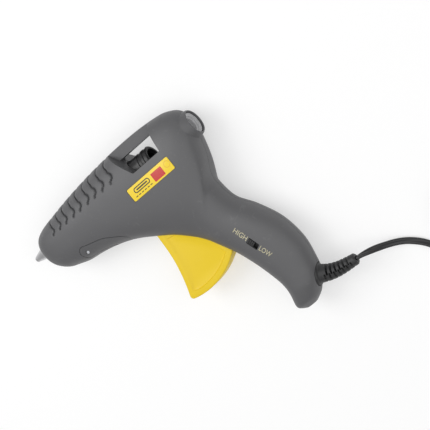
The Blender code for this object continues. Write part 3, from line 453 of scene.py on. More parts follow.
def relief_rings(line):
    """The sleeve's round sections: its flange, then the taper to a rounded tip."""
    total = sum((b - a).length for a, b in zip(line, line[1:]))
    stations = [(-6.5, RELIEF_FLANGE - 1.2), (-6.1, RELIEF_FLANGE - 0.4), (-5.5, RELIEF_FLANGE),
                (0.0, RELIEF_FLANGE), (0.9, RELIEF_FLANGE - 0.3), (1.3, RELIEF_FLANGE - 1.0),
                (1.45, RELIEF_ROOT + 0.2)]
    rings = []
    for along, radius in stations:
        rings.append((line[0] + RELIEF_AHEAD * (along - 1.6), RELIEF_AHEAD, radius))
    travelled = 0.0
    for i in range(1, len(line)):
        travelled += (line[i] - line[i - 1]).length
        share = travelled / total
        ahead = (line[min(i + 1, len(line) - 1)] - line[i - 1]).normalized()
        radius = RELIEF_ROOT + (RELIEF_TIP - RELIEF_ROOT) * share ** 0.8
        radius -= 0.9 * eased((share - 0.965) / 0.035)
        rings.append((line[i], ahead, radius))
    result = []
    for centre, ahead, radius in rings:
        side = Vector((-ahead.y, ahead.x, 0.0))
        ring = []
        for k in range(64):
            angle = 2 * math.pi * k / 64
            ring.append(at(*(centre + radius * (side * math.cos(angle) + Vector((0, 0, math.sin(angle)))))))
        result.append(ring)
    return result


relief_line = smooth_line(RELIEF_PATH, 0.5)
relief = skin("relief_sleeve", relief_rings(relief_line))
slots = []
travelled = 0.0
next_slot = 5.0
for one, two in zip(relief_line, relief_line[1:]):
    travelled += (two - one).length
    if travelled >= next_slot and travelled < 29.5:
        ahead = (two - one).normalized()
        side = Vector((-ahead.y, ahead.x, 0.0)) * (1 if len(slots) % 2 else -1)
        thick = ahead * SLOT_WIDTH / 2
        inner = two - side * 0.7
        outer = two + side * 12.0
        corners = [inner - thick, inner + thick, outer + thick * 1.5, outer - thick * 1.5]
        slots.append(slab("slot", [(p.x, p.y) for p in corners], -12, 12))
        next_slot += SLOT_PITCH / 2
for slot in slots:
    boolean(relief, slot, "DIFFERENCE")
lead_hole = [at(x, y, z) for x, y, z in [(108.0, -89.4, 0), (118.0, -90.2, 0)]]
hole_rings = []
for centre in lead_hole:
    ahead = (lead_hole[1] - lead_hole[0]).normalized()
    side = Vector((-ahead.y, ahead.x, 0.0))
    hole_rings.append([centre + (side * math.cos(a) * 1.9 + Vector((0, 0, math.sin(a))) * 3.0) * MM
                       for a in (math.tau * k / 32 for k in range(32))])
boolean(relief, skin("lead_hole", hole_rings), "DIFFERENCE")
shaded(relief, 40)
SLEEVE_RUBBER = moulded("sleeve_rubber", (0.03, 0.03, 0.031), (0.02, 0.02, 0.021), (0.42, 0.58), 0.03, 1500.0)
finished(relief, SLEEVE_RUBBER, replaced=("strain_relief",))

# ------------------------------------------------------------------ housing
# Two moulded halves in satin grey, joined on the middle plane by six screws. The barrel has
# curved grip grooves, and a window shows the carriage; ribs and bosses carry the works.
WALL = 2.4
GAP = 0.3
SEAM = 0.15
BARREL_Y = 72.5
WINDOW_REAR_X = 50.5
INLET_X = 82.0
WINDOW_FRONT_TOP = (3.5, 99.0)
WINDOW_FRONT_FOOT = (20.0, 72.0)
STRAP_FOOT_Y, STRAP_HALF_WIDTH = 88.2, 5.0
TRIGGER_PIVOT, TRIGGER_RADIUS, TRIGGER_HALF_WIDTH = (-2.0, 29.5), 68.0, 7.0
STAND_PIVOT, STAND_EYE, STAND_THICKNESS = (-62.5, 48.5), 6.3, 3.1
STAND_WEB_X, STAND_INNER_Z = -40.0, 9.7
STAND_TOP = [(-62.0, 54.4), (-51.0, 51.6), (-42.0, 49.0), (-35.3, 45.2), (-28.0, 40.5), (-24.5, 36.5)]
SWITCH_CENTRE = Vector((61.0, -30.7, 0.0))
HANDLE_DOWN = Vector((0.319, -0.948, 0.0))
HANDLE_BACK = Vector((0.948, 0.319, 0.0))
SCREW_PLACES = [(-84.0, 51.0), (-40.0, 88.0), (62.0, 87.2), (48.0, 34.0), (73.0, -18.0), (57.5, -88.0)]
CLAMP_PLACES = [(59.5, -67.36), (70.9, -63.64)]

# The outer form's sections: lower or front point, upper or rear point, half thickness
SECTIONS = [
    (-101.5, 62.0, -101.5, 80.0, 9.6), (-100.0, 57.5, -100.0, 83.0, 12.4), (-96.5, 53.0, -96.5, 86.2, 15.0),
    (-90.0, 48.2, -90.0, 88.6, 17.2), (-82.0, 45.4, -82.0, 90.2, 18.6), (-72.0, 42.4, -72.0, 91.6, 19.6),
    (-60.0, 40.9, -60.0, 93.3, 20.3), (-45.0, 37.9, -45.0, 95.0, 20.9), (-30.0, 33.2, -30.0, 96.3, 21.17),
    (-18.0, 27.8, -17.0, 97.2, 21.17), (-3.5, 19.0, 10.0, 98.1, 21.17), (6.5, 12.4, 38.0, 97.5, 21.17),
    (14.0, 5.7, 60.0, 95.1, 21.17), (17.0, 2.8, 69.0, 92.3, 20.9), (19.5, 0.2, 75.5, 88.2, 20.4),
    (21.6, -2.2, 79.2, 82.0, 19.8), (23.4, -4.3, 79.8, 72.0, 19.2), (26.5, -7.8, 73.0, 49.6, 18.3),
    (29.3, -11.6, 64.4, 33.5, 17.7), (30.7, -13.8, 63.0, 25.0, 17.4), (34.2, -19.6, 66.0, 8.0, 16.9),
    (38.6, -27.6, 77.0, -8.2, 16.9), (42.6, -36.6, 87.2, -29.3, 17.0), (47.3, -49.2, 90.4, -52.0, 16.9),
    (51.6, -64.0, 87.0, -71.5, 16.3), (53.0, -72.0, 84.6, -78.5, 16.0), (52.7, -80.0, 81.2, -84.4, 15.4),
    (49.4, -91.0, 75.0, -91.9, 12.2), (50.6, -95.0, 71.5, -94.9, 9.0), (55.5, -98.1, 65.5, -98.0, 4.5),
]
SECTION_POWER = 2.4
SIDE_SHARE = 0.9915         # keeps the flat of the sides in the box

# The grip grooves: where each crosses the spine, and how it bends on its way down
GROOVES = [-75.2, -66.0, -57.4, -47.6, -38.8, -28.9, -20.2, -10.6, -0.4]
GROOVE_BEND = [(0.0, -0.3), (0.2, -1.5), (0.45, 0.3), (0.68, 2.7), (0.77, 2.0), (0.89, -1.4), (1.0, -2.2)]
GROOVE_FOOT_Y = 76.4
GROOVE_DEPTH = 1.5
RIB_FALL = 0.6


def groove_depth(x, y, top):
    """How far the surface lies back at this place, for a spine at the height of top."""
    down = (top - y) / (top - GROOVE_FOOT_Y)
    if down > 1.0:
        return 0.0
    bend = GROOVE_BEND[-1][1]
    for (d0, b0), (d1, b1) in zip(GROOVE_BEND, GROOVE_BEND[1:]):
        if d0 <= down <= d1:
            bend = b0 + (b1 - b0) * eased((down - d0) / (d1 - d0))
            break
    half = 0.35 + 0.6 * max(0.0, down)
    depth = 0.0
    for i, base in enumerate(GROOVES):
        off = abs(x - base - bend * (0.7 + 0.3 * i / (len(GROOVES) - 1)))
        if off < 4.0:
            cut = GROOVE_DEPTH * (1 - eased((off - half * 0.4) / (half * 0.9)))
            depth = max(depth, cut + RIB_FALL * (1 - eased(off / 2.6)))
    return depth * (1 - eased((down - 0.89) / 0.08))


def form_rings(inset=0.0, step=1.3, around=192, first=0, last=len(SECTIONS), grooved=False):
    """Sections of the outer form, made smaller all round by inset."""
    rows = SECTIONS[first:last]
    before = [2 * a - b for a, b in zip(rows[0], rows[1])]
    after = [2 * a - b for a, b in zip(rows[-1], rows[-2])]
    rows = [before] + rows + [after]
    stations = [rows[1]]
    for r0, r1, r2, r3 in zip(rows, rows[1:], rows[2:], rows[3:]):
        run = math.hypot((r1[0] + r1[2] - r2[0] - r2[2]) / 2, (r1[1] + r1[3] - r2[1] - r2[3]) / 2)
        fine = grooved and r2[0] > -80.0 and r1[0] < 4.0
        count = max(1, round(run / (0.34 if fine else step)))
        for i in range(1, count + 1):
            t = i / count
            stations.append([0.5 * (2 * b + (c - a) * t + (2 * a - 5 * b + 4 * c - d) * t ** 2
                                    + (3 * b - a - 3 * c + d) * t ** 3)
                             for a, b, c, d in zip(r0, r1, r2, r3)])
    rings = []
    for lower_x, lower_y, upper_x, upper_y, half in stations:
        middle = Vector(((lower_x + upper_x) / 2, (lower_y + upper_y) / 2, 0.0))
        arm = Vector((upper_x, upper_y, 0.0)) - middle
        reach = arm.length - inset
        arm.normalize()
        rise = half * SIDE_SHARE - inset
        ring = []
        for k in range(around):
            angle = 2 * math.pi * k / around
            c, s = math.cos(angle), math.sin(angle)
            out = math.copysign(abs(c) ** (2 / SECTION_POWER), c)
            up_share = math.copysign(abs(s) ** (2 / SECTION_POWER), s) if k % (around // 2) else 0.0
            point = middle + arm * (reach * out) + Vector((0, 0, rise * up_share))
            if grooved and lower_x < 4.0 and out > 0:
                depth = groove_depth(point.x, point.y, upper_y)
                if depth > 0:
                    normal = arm * (abs(out) ** 1.4 / reach) + Vector((0, 0, 1)) * (
                        math.copysign(abs(up_share) ** 1.4, up_share) / rise)
                    point -= normal.normalized() * depth
            ring.append(at(*point))
        rings.append(ring)
    return rings


def form(inset=0.0, **choices):
    return skin("form", form_rings(inset, **choices))


def turned(name, profile, origin=(0.0, BARREL_Y, 0.0), along=(1, 0, 0), steps=96):
    """A profile of (distance, radius) turned about a line. It starts and ends on the
    line, or else its last point joins its first and the piece is a ring."""
    turn = Vector((1, 0, 0)).rotation_difference(Vector(along)).to_matrix()
    points, rings = [], []
    for distance, radius in profile:
        spokes = 1 if radius == 0 else steps
        rings.append(range(len(points), len(points) + spokes))
        for i in range(spokes):
            angle = 2 * math.pi * i / steps
            arm = Vector((distance, radius * math.cos(angle), radius * math.sin(angle)))
            points.append(at(*(Vector(origin) + turn @ arm)))
    pairs = list(zip(rings, rings[1:]))
    if profile[0][1] > 0:
        pairs.append((rings[-1], rings[0]))
    faces = []
    for one, two in pairs:
        for i in range(steps):
            j = (i + 1) % steps
            face = [one[i % len(one)], one[j % len(one)], two[j % len(two)], two[i % len(two)]]
            face = list(dict.fromkeys(face))
            if len(face) > 2:
                faces.append(face)
    return new_piece(name, points, faces)


def drum(start, end, radius, steps=32):
    start, end = Vector(start), Vector(end)
    length = (end - start).length
    return turned("drum", [(0, 0), (0, radius), (length, radius), (length, 0)], start,
                  (end - start).normalized(),
                  steps)


def rounded(corners, radius, closed=True, steps=3):
    """The same outline with each corner turned into a short curve."""
    result = []
    for i, corner in enumerate(corners):
        corner = Vector(corner)
        if not closed and i in (0, len(corners) - 1):
            result.append(tuple(corner))
            continue
        before = Vector(corners[i - 1]) - corner
        after = Vector(corners[(i + 1) % len(corners)]) - corner
        start = corner + before.normalized() * min(radius, before.length * 0.45)
        end = corner + after.normalized() * min(radius, after.length * 0.45)
        for k in range(steps + 1):
            t = k / steps
            result.append(tuple(start * (1 - t) ** 2 + corner * (2 * t * (1 - t)) + end * t ** 2))
    return result


def on_circle(centre, radius, degrees):
    """A point of a circle, its angle counted from straight down towards the rear."""
    angle = math.radians(degrees)
    return (centre[0] + radius * math.sin(angle), centre[1] - radius * math.cos(angle))


def stand_outline(grow=0.0):
    """The side view of the stand's arms and web, before it is trimmed to the form."""
    eye = STAND_EYE + grow
    front = []
    for degrees in range(10, 180, 10):
        angle = math.radians(degrees)
        front.append((STAND_PIVOT[0] - eye * math.sin(angle), STAND_PIVOT[1] + eye * math.cos(angle)))
    line = smooth_line([(x + grow, y + grow, 0.0) for x, y in STAND_TOP], 1.5)
    top = [(p.x, p.y) for p in line]
    return front + [(STAND_PIVOT[0], 15.0), (top[-1][0], 15.0)] + top[::-1]


def handle_slab(name, length, width, low, high, offset=0.0, corner=0.6):
    """A block lined up with the handle, about the switch."""
    centre = SWITCH_CENTRE + HANDLE_DOWN * offset
    corners = [(-length / 2, -width / 2), (length / 2, -width / 2), (length / 2, width / 2),
               (-length / 2, width / 2)]
    outline = []
    for a, b in rounded(corners, corner):
        place = centre + HANDLE_DOWN * a + HANDLE_BACK * b
        outline.append((place.x, place.y))
    return slab(name, outline, low, high)


def label_outline(grow=0.0):
    return [(6.0 - grow, 53.8 - grow), (52.6 + grow, 53.8 - grow), (52.6 + grow, 65.2 + grow),
            (6.0 - grow, 65.2 + grow)]


def works():
    """The ribs, seats and bosses that stand inside the wall."""
    made = [block((-4, STRAP_FOOT_Y, -STRAP_HALF_WIDTH), (56, 105, STRAP_HALF_WIDTH))]
    (x0, y0), (x1, y1) = WINDOW_FRONT_TOP, WINDOW_FRONT_FOOT
    bulkhead = [(x0, y0 + 1), (x0 - WALL - 1, y0 + 1), (x1 - WALL - 0.5, y1), (x1 - WALL - 0.5, 66.0),
                (x1, 66.0),
                (x1, y1)]
    made.append(slab("front_bulkhead", bulkhead, -30, 30))
    for front, rear, foot in ((WINDOW_REAR_X, WINDOW_REAR_X + WALL, 60), (-91, -87, 40), (-46, -43, 61.5)):
        made.append(block((front, foot, -30), (rear, 105, 30)))
    made.append(drum((48, 58, -30), (48, 58, 30), 2.2))
    for side in (-1, 1):
        for x, y in SCREW_PLACES:
            made.append(drum((x, y, 0), (x, y, side * 30), 4.6))
        x, y = TRIGGER_PIVOT
        made.append(drum((x, y, side * (TRIGGER_HALF_WIDTH + 0.6)), (x, y, side * 30), 4.8))
        x, y = STAND_PIVOT
        made.append(drum((x, y, side * 6.0), (x, y, side * 14.0), STAND_EYE + 2.2))
    for x, y in CLAMP_PLACES:
        made.append(drum((x, y, -0.5), (x, y, -30), 2.9))
    made.append(drum((65.2, -65.5, -3.0), (65.2, -65.5, -30), 4.5))
    made.append(turned("inlet_tube", [(INLET_X - 20, 0), (INLET_X - 20, 11.4), (INLET_X - 1, 11.0),
                                      (INLET_X - 1, 0)]))
    floor_of_recess = slab("floor", stand_outline(WALL), -40, 40)
    boolean(floor_of_recess, form(STAND_THICKNESS + GAP, step=3.0, around=64), "INTERSECT")
    boolean(floor_of_recess, form(STAND_THICKNESS + GAP + 2.0, step=3.0, around=64), "DIFFERENCE")
    return made + [floor_of_recess]


def openings():
    """The window, bores, slots and recesses that are cut in the wall."""
    outline = [WINDOW_FRONT_TOP, WINDOW_FRONT_FOOT, (WINDOW_REAR_X, WINDOW_FRONT_FOOT[1]),
               (WINDOW_REAR_X, 110.0),
               (WINDOW_FRONT_TOP[0], 110.0)]
    window = slab("window", rounded(outline, 1.2), -40, 40)
    boolean(window, block((-10, STRAP_FOOT_Y, -STRAP_HALF_WIDTH), (70, 120, STRAP_HALF_WIDTH)), "DIFFERENCE")
    made = [window]
    for profile in ([(-20, 0), (-20, 11.3), (35, 11.3), (35, 0)],
                    [(45.5, 0), (45.5, 8.5), (74, 8.5), (74, 9.7), (81.2, 9.7), (82.4, 10.2), (87, 10.2),
                     (87, 0)],
                    [(-110, 0), (-110, 7.6), (-101.2, 7.3), (-94, 7.3), (-94, 0)],
                    [(-96.5, 0), (-96.5, 12.8), (-40, 12.8), (-40, 0)]):
        made.append(turned("bore", profile))
    made.append(block((-96, 54.5, -6.5), (-49, 66, 6.5)))
    reach = TRIGGER_RADIUS + 2.0
    sweep = [on_circle(TRIGGER_PIVOT, reach, -7 + 70 * i / 40) for i in range(41)]
    slot = [(-9.2, 31.0), (-9.2, -45.0)] + sweep
    made.append(slab("trigger_slot", slot, -TRIGGER_HALF_WIDTH - 0.7, TRIGGER_HALF_WIDTH + 0.7))
    x, y = TRIGGER_PIVOT
    made.append(drum((x, y, -13.1), (x, y, 13.1), 2.3))
    recess = slab("recess", stand_outline(GAP), -40, 40)
    boolean(recess, form(STAND_THICKNESS + GAP, step=3.0, around=64), "DIFFERENCE")
    inner = STAND_INNER_Z - GAP
    boolean(recess, block((-90, 0, -inner), (STAND_WEB_X - GAP, 100, inner)), "DIFFERENCE")
    made.append(recess)
    x, y = STAND_PIVOT
    for side in (-1, 1):
        made.append(drum((x, y, side * inner), (x, y, side * 40), STAND_EYE + GAP, 48))
    made.append(drum((x, y, -20), (x, y, 20), 1.7))
    for x, y in SCREW_PLACES:
        made.append(drum((x, y, -30), (x, y, -8.0), 3.3))
        made.append(drum((x, y, -9.0), (x, y, 9.6), 1.8))
    for x, y in CLAMP_PLACES:
        made.append(drum((x, y, 0.0), (x, y, -8.0), 1.4))
    made.append(drum(RELIEF_START - RELIEF_AHEAD * 12, RELIEF_START + RELIEF_AHEAD * 14,
                     RELIEF_FLANGE + 0.4, 64))
    made.append(handle_slab("switch_slot", 10.0, 5.4, 12.0, 30.0))
    label_bed = slab("label_bed", rounded(label_outline(0.4), 0.8), 5, 40)
    made.append(boolean(label_bed, form(0.5, step=1.3, around=192, first=9, last=17), "DIFFERENCE"))
    return made


def shell_halves():
    housing = form(grooved=True)
    boss = [(INLET_X - 24, 0), (INLET_X - 24, 17.0), (INLET_X - 14, 15.0), (INLET_X - 6, 12.6),
            (INLET_X - 1.2, 11.4),
            (INLET_X, 10.6), (INLET_X, 0)]
    boolean(housing, turned("boss", boss), "UNION")
    cavity = form(WALL, step=3.0, around=64, first=2, last=len(SECTIONS) - 2)
    for piece in works():
        boolean(cavity, piece, "DIFFERENCE")
    for piece in openings():
        boolean(cavity, piece, "UNION")
    boolean(housing, cavity, "DIFFERENCE")
    other = housing.copy()
    other.data = housing.data.copy()
    bpy.context.scene.collection.objects.link(other)
    boolean(housing, block((-200, -200, SEAM), (200, 200, 60)), "INTERSECT")
    boolean(other, block((-200, -200, -60), (200, 200, -SEAM)), "INTERSECT")
    return shaded(housing), shaded(other)


HOUSING_GREY = moulded("housing_grey", (0.112, 0.112, 0.116), (0.098, 0.098, 0.102), (0.42, 0.55), 0.03,
                       2600.0)
left_half, right_half = shell_halves()
left_half.name, right_half.name = "left_half", "right_half"
finished(left_half, HOUSING_GREY, replaced=("left_shell",))
finished(right_half, HOUSING_GREY, replaced=("right_shell",))

# ------------------------------------------------------------------ fold-out stand
# A forked foot moulded in the housing's grey. Two arms and the web between them lie flush
# under the barrel, and it swings down on a steel pin to prop the hot nozzle off the bench.
STAND_SINK, EYE_SINK = 0.1, 0.3
STAND_PIN_HOLE = 1.7


def stand_piece():
    piece = slab("prop_foot", stand_outline(), -40, 40)
    boolean(piece, form(STAND_SINK, step=0.8, first=2, last=12), "INTERSECT")
    boolean(piece, form(STAND_THICKNESS, step=2.0, around=96, first=1, last=13), "DIFFERENCE")
    between = block((-90, 0, -STAND_INNER_Z), (STAND_WEB_X, 100, STAND_INNER_Z))
    boolean(piece, between, "DIFFERENCE")
    x, y = STAND_PIVOT
    for side in (-1, 1):
        eye = drum((x, y, side * STAND_INNER_Z), (x, y, side * 40), STAND_EYE, 64)
        boolean(eye, form(EYE_SINK, step=1.3, first=2, last=10), "INTERSECT")
        boolean(piece, eye, "UNION")
    boolean(piece, drum((x, y, -30), (x, y, 30), STAND_PIN_HOLE), "DIFFERENCE")
    return shaded(piece)


finished(stand_piece(), HOUSING_GREY, "stand", ("stand",))

# ------------------------------------------------------------------ nozzle and melt chamber
# A turned aluminium nozzle screwed into a cast chamber that melts the stick. A film-wrapped
# ceramic heater is clipped under the chamber, and two pressed rings hold it off the housing.
NOZZLE_TIP_X, NOZZLE_SEAT_X = -116.5, -93.9
NOZZLE_RADIUS, NOZZLE_CHANNEL = 6.7, 3.2
CAST_METAL = metal("cast_metal", (0.6, 0.6, 0.62), 0.5, 500.0, dull=0.2)
TURNED_METAL = metal("turned_metal", (0.66, 0.66, 0.67), 0.42, 1400.0, (1.0, 0.15, 0.15), 0.12)
ZINC_PLATE = metal("zinc_plate", (0.62, 0.63, 0.66), 0.3, 700.0, dull=0.25)
PHENOLIC = moulded("phenolic", (0.27, 0.13, 0.055), (0.17, 0.075, 0.03), (0.5, 0.65), 0.05, 900.0)
HEATER_FILM = moulded("heater_film", (0.52, 0.23, 0.03), (0.4, 0.16, 0.02), (0.2, 0.35), 0.03, 500.0)


def refinished(material, *nodes):
    """Gives the finish to nodes whose modelled shape stays as it is."""
    for name in nodes:
        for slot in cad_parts[name].material_slots:
            slot.material = material


def nozzle_piece():
    corners = [(NOZZLE_TIP_X, 1.0), (NOZZLE_TIP_X, 2.4), (-102.5, 6.3), (-101.0, NOZZLE_RADIUS),
               (NOZZLE_SEAT_X, NOZZLE_RADIUS), (NOZZLE_SEAT_X, NOZZLE_CHANNEL), (-108.0, 2.0)]
    return shaded(turned("turned_nozzle", rounded(corners, 0.55)), 45)


finished(nozzle_piece(), TURNED_METAL, replaced=("nozzle",))
refinished(CAST_METAL, "melt_chamber")
refinished(HEATER_FILM, "ptc_heater")
refinished(PHENOLIC, "front_insulator", "rear_insulator", "cord_clamp")
refinished(ZINC_PLATE, "heater_clip", "sleeve_clamp")

# ------------------------------------------------------------------ stick sleeve and inlet guide
# A red silicone sleeve seals the stick at the chamber's mouth, under a steel band. At the
# rear a stepped ring in pale plastic leads the stick into the barrel.
SILICONE = moulded("silicone", (0.46, 0.075, 0.045), (0.38, 0.055, 0.035), (0.3, 0.45), 0.04, 700.0)
PALE_PLASTIC = moulded("pale_plastic", (0.5, 0.5, 0.51), (0.44, 0.44, 0.45), (0.35, 0.5), 0.02, 2200.0)
DARK_PLASTIC = moulded("dark_plastic", (0.02, 0.02, 0.021), (0.013, 0.013, 0.014), (0.3, 0.45), 0.02, 2400.0)


def guide_piece():
    rear = INLET_X - 1.6
    corners = [(51.1, 6.6), (51.1, 8.1), (74.4, 8.1), (74.4, 9.3), (rear, 9.3), (rear, 8.6),
               (rear - 1.0, 8.3),
               (rear - 1.2, 7.4), (rear - 2.4, 7.1), (rear - 2.8, 6.2), (56.5, 6.2)]
    return shaded(turned("guide_ring", rounded(corners, 0.3)), 45)


finished(guide_piece(), PALE_PLASTIC, replaced=("inlet_guide",))
refinished(SILICONE, "stick_sleeve")

# ------------------------------------------------------------------ carriage and grip jaw
# The black collar slides in the barrel and pushes the stick on. A toothed steel lever in it
# bites the stick, and two raised bands round it stiffen its wall.
CARRIAGE_REAR, CARRIAGE_FRONT, CARRIAGE_RADIUS = 34.5, -1.5, 10.8
JAW_PIVOT = (16.0, 57.0)


def carriage_piece():
    bore = 6.5
    outside = [(CARRIAGE_FRONT, CARRIAGE_RADIUS - 0.6), (CARRIAGE_FRONT + 0.6, CARRIAGE_RADIUS)]
    for band in (24.0, 30.0):
        outside += [(band, CARRIAGE_RADIUS), (band + 0.4, CARRIAGE_RADIUS - 0.7),
                    (band + 3.2, CARRIAGE_RADIUS - 0.7),
                    (band + 3.6, CARRIAGE_RADIUS)]
    corners = [(CARRIAGE_FRONT, bore)] + outside + [(CARRIAGE_REAR, CARRIAGE_RADIUS - 0.8),
                                                    (CARRIAGE_REAR, bore + 1.6), (CARRIAGE_REAR - 2.5, bore)]
    piece = turned("feed_collar", rounded(corners, 0.25))
    for side in (-1, 1):
        low, high = sorted((side * 3.3, side * 6.4))
        boolean(piece, block((CARRIAGE_FRONT - 0.5, 52.8, low), (20.2, 65.0, high)), "UNION")
    boolean(piece, block((18.8, 54.0, -5.0), (20.2, 64.0, 5.0)), "UNION")
    boolean(piece, block((-0.3, 53.9, -10), (4.9, 59.4, 10)), "DIFFERENCE")
    boolean(piece, block((8.9, 50, -2.6), (18.5, 67.5, 2.6)), "DIFFERENCE")
    x, y = JAW_PIVOT
    boolean(piece, drum((x, y, -10), (x, y, 10), 1.5), "DIFFERENCE")
    return shaded(piece, 40)


finished(carriage_piece(), DARK_PLASTIC, "carriage", ("carriage",))
refinished(ZINC_PLATE, "grip_jaw", "jaw_pin", "drive_pin", "trigger_pin", "stand_pin")

# ------------------------------------------------------------------ return spring
# A close-wound extension spring of 0.6 mm wire that pulls the carriage back and, through
# it, swings the trigger out again.
SPRING_TURNS, SPRING_RADIUS, SPRING_WIRE = 28, 2.4, 0.3
SPRING_FRONT, SPRING_REAR, SPRING_Y = 20.9, 45.0, 58.0


def geometry_tree(name, inputs):
    """An empty Geometry Nodes tree with named inputs, and its two end nodes."""
    tree = bpy.data.node_groups.new(name, "GeometryNodeTree")
    tree.interface.new_socket("Geometry", in_out="INPUT", socket_type="NodeSocketGeometry")
    for key, kind in inputs.items():
        tree.interface.new_socket(key, in_out="INPUT", socket_type=kind)
    tree.interface.new_socket("Geometry", in_out="OUTPUT", socket_type="NodeSocketGeometry")
    return tree, tree.nodes.new("NodeGroupInput").outputs, tree.nodes.new("NodeGroupOutput").inputs


def closing_nodes(tree, made, given, out):
    """Makes the instances real and gives them their material."""
    real = wire(tree, "GeometryNodeRealizeInstances", {0: made})
    painted = wire(tree, "GeometryNodeSetMaterial", {"Geometry": real.outputs[0],
                                                     "Material": given["Material"]})
    tree.links.new(painted.outputs[0], out["Geometry"])


def wound_wire_tree():
    numbers = ("Turns", "Coil Radius", "Length", "Wire Radius")
    inputs = {key: "NodeSocketFloat" for key in numbers} | {"Material": "NodeSocketMaterial"}
    tree, given, out = geometry_tree("wound_wire", inputs)
    coil = wire(tree, "GeometryNodeCurveSpiral", {"Resolution": 20, "Rotations": given["Turns"],
                                                  "Start Radius": given["Coil Radius"],
                                                  "End Radius": given["Coil Radius"],
                                                  "Height": given["Length"]})
    section = wire(tree, "GeometryNodeCurvePrimitiveCircle", {"Resolution": 8,
                                                              "Radius": given["Wire Radius"]})
    drawn = wire(tree, "GeometryNodeCurveToMesh", {"Curve": coil.outputs[0],
                                                   "Profile Curve": section.outputs[0],
                                                   "Fill Caps": True})
    closing_nodes(tree, drawn.outputs[0], given, out)
    return tree


def grown(name, tree, values, seed_mesh=None):
    """What a tree makes with these values, as a plain mesh object."""
    holder = bpy.data.objects.new("holder", seed_mesh or bpy.data.meshes.new("holder"))
    bpy.context.scene.collection.objects.link(holder)
    modifier = holder.modifiers.new("nodes", "NODES")
    modifier.node_group = tree
    for socket in tree.interface.items_tree:
        if socket.in_out == "INPUT" and socket.name in values:
            modifier[socket.identifier] = values[socket.name]
    graph = bpy.context.evaluated_depsgraph_get()
    mesh = bpy.data.meshes.new_from_object(holder.evaluated_get(graph))
    bpy.data.objects.remove(holder)
    piece = bpy.data.objects.new(name, mesh)
    bpy.context.scene.collection.objects.link(piece)
    return piece


spring = grown("wound_spring", wound_wire_tree(),
               {"Turns": float(SPRING_TURNS), "Coil Radius": SPRING_RADIUS * MM,
                "Length": (SPRING_REAR - SPRING_FRONT) * MM, "Wire Radius": SPRING_WIRE * MM,
                "Material": ZINC_PLATE})
spring.data.transform(Matrix.Translation(at(SPRING_FRONT, SPRING_Y, 0)) @ Matrix.Rotation(math.pi / 2, 4,
                                                                                          "Y"))
finished(shaded(spring, 60), ZINC_PLATE, None, ("return_spring",))
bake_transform(spring)

# ------------------------------------------------------------------ trigger
# A moulded yellow sector that turns on a pin below the barrel. Each side has a rim round a
# sunk panel, and an arm above the pivot reaches up to push the carriage.
DRIVE_PIN_PLACE = (2.302, 56.661)


def outline_line(points, count):
    """The smooth line through the points, cut into this many equal runs."""
    fine = smooth_line([(x, y, 0.0) for x, y in points], 0.2)
    return [tuple(fine[round(i * (len(fine) - 1) / count)].to_2d()) for i in range(count + 1)]


def trigger_pocket(side):
    """The panel's cutter: a wide slope behind the front rim and a narrow one below."""
    rim_front = outline_line([(-1.9, 15.4), (-4.4, -3.3), (-8.4, -18.0), (-12.7, -31.0)], 24)
    floor_front = outline_line([(1.2, 14.4), (1.4, 2.0), (0.9, -9.5), (-3.6, -20.5), (-9.7, -30.0)], 24)
    rim_foot = [on_circle(TRIGGER_PIVOT, TRIGGER_RADIUS - 5.0, -9.0 + 43.0 * i / 24) for i in range(1, 25)]
    floor_foot = [on_circle(TRIGGER_PIVOT, TRIGGER_RADIUS - 6.4, -6.6 + 40.0 * i / 24) for i in range(1, 25)]
    rim = rim_front + rim_foot + [(28.0, -4.0), (12.0, 13.0)]
    floor_line = floor_front + floor_foot + [(27.0, -4.0), (11.6, 12.2)]
    rings = []
    for rise, share in ((9.0, 0.0), (7.0, 0.0), (6.75, 0.12), (6.4, 0.34), (6.1, 0.6), (5.92, 0.84),
                        (5.85, 1.0)):
        ring = []
        for (x0, y0), (x1, y1) in zip(rim, floor_line):
            ring.append(at(x0 + (x1 - x0) * share, y0 + (y1 - y0) * share, side * rise))
        rings.append(ring)
    return skin("panel", rings)


def trigger_piece():
    front = [(-6.6, 27.0), (-7.3, 15.0), (-8.0, 6.0), (-9.3, -2.8), (-11.2, -11.1), (-13.5, -19.0),
             (-16.2, -26.7),
             (-18.6, -32.6), (-19.0, -34.6), (-18.2, -36.0)]
    foot = [on_circle(TRIGGER_PIVOT, TRIGGER_RADIUS, -12.5 + 48.5 * i / 36) for i in range(37)]
    top = [(40.2, -20.5), (36.0, -10.0), (29.0, 0.0), (20.0, 9.5), (10.0, 19.0), (2.0, 26.5)]
    piece = slab("squeeze_trigger", outline_line(front, 40) + foot + top, -TRIGGER_HALF_WIDTH,
                 TRIGGER_HALF_WIDTH)
    edge = piece.modifiers.new("edge", "BEVEL")
    edge.width = 1.1 * MM
    edge.segments = 4
    edge.angle_limit = math.radians(50)
    graph = bpy.context.evaluated_depsgraph_get()
    piece.data = bpy.data.meshes.new_from_object(piece.evaluated_get(graph))
    piece.modifiers.clear()
    for side in (-1, 1):
        boolean(piece, trigger_pocket(side), "DIFFERENCE")
    x, y = TRIGGER_PIVOT
    boolean(piece, drum((x, y, -TRIGGER_HALF_WIDTH), (x, y, TRIGGER_HALF_WIDTH), 5.0, 64), "UNION")
    px, py = DRIVE_PIN_PLACE
    lean = Vector((px - x, py - y, 0)).normalized()
    side = Vector((-lean.y, lean.x, 0)) * 3.4
    arm = [(x + side.x, y + side.y), (px + side.x, py + side.y), (px - side.x, py - side.y),
           (x - side.x, y - side.y)]
    boolean(piece, slab("arm", arm, -2.8, 2.8), "UNION")
    boolean(piece, drum((px, py, -2.8), (px, py, 2.8), 3.4, 48), "UNION")
    boolean(piece, drum((x, y, -20), (x, y, 20), 2.3), "DIFFERENCE")
    boolean(piece, drum((px, py, -20), (px, py, 20), 2.2), "DIFFERENCE")
    return shaded(piece)


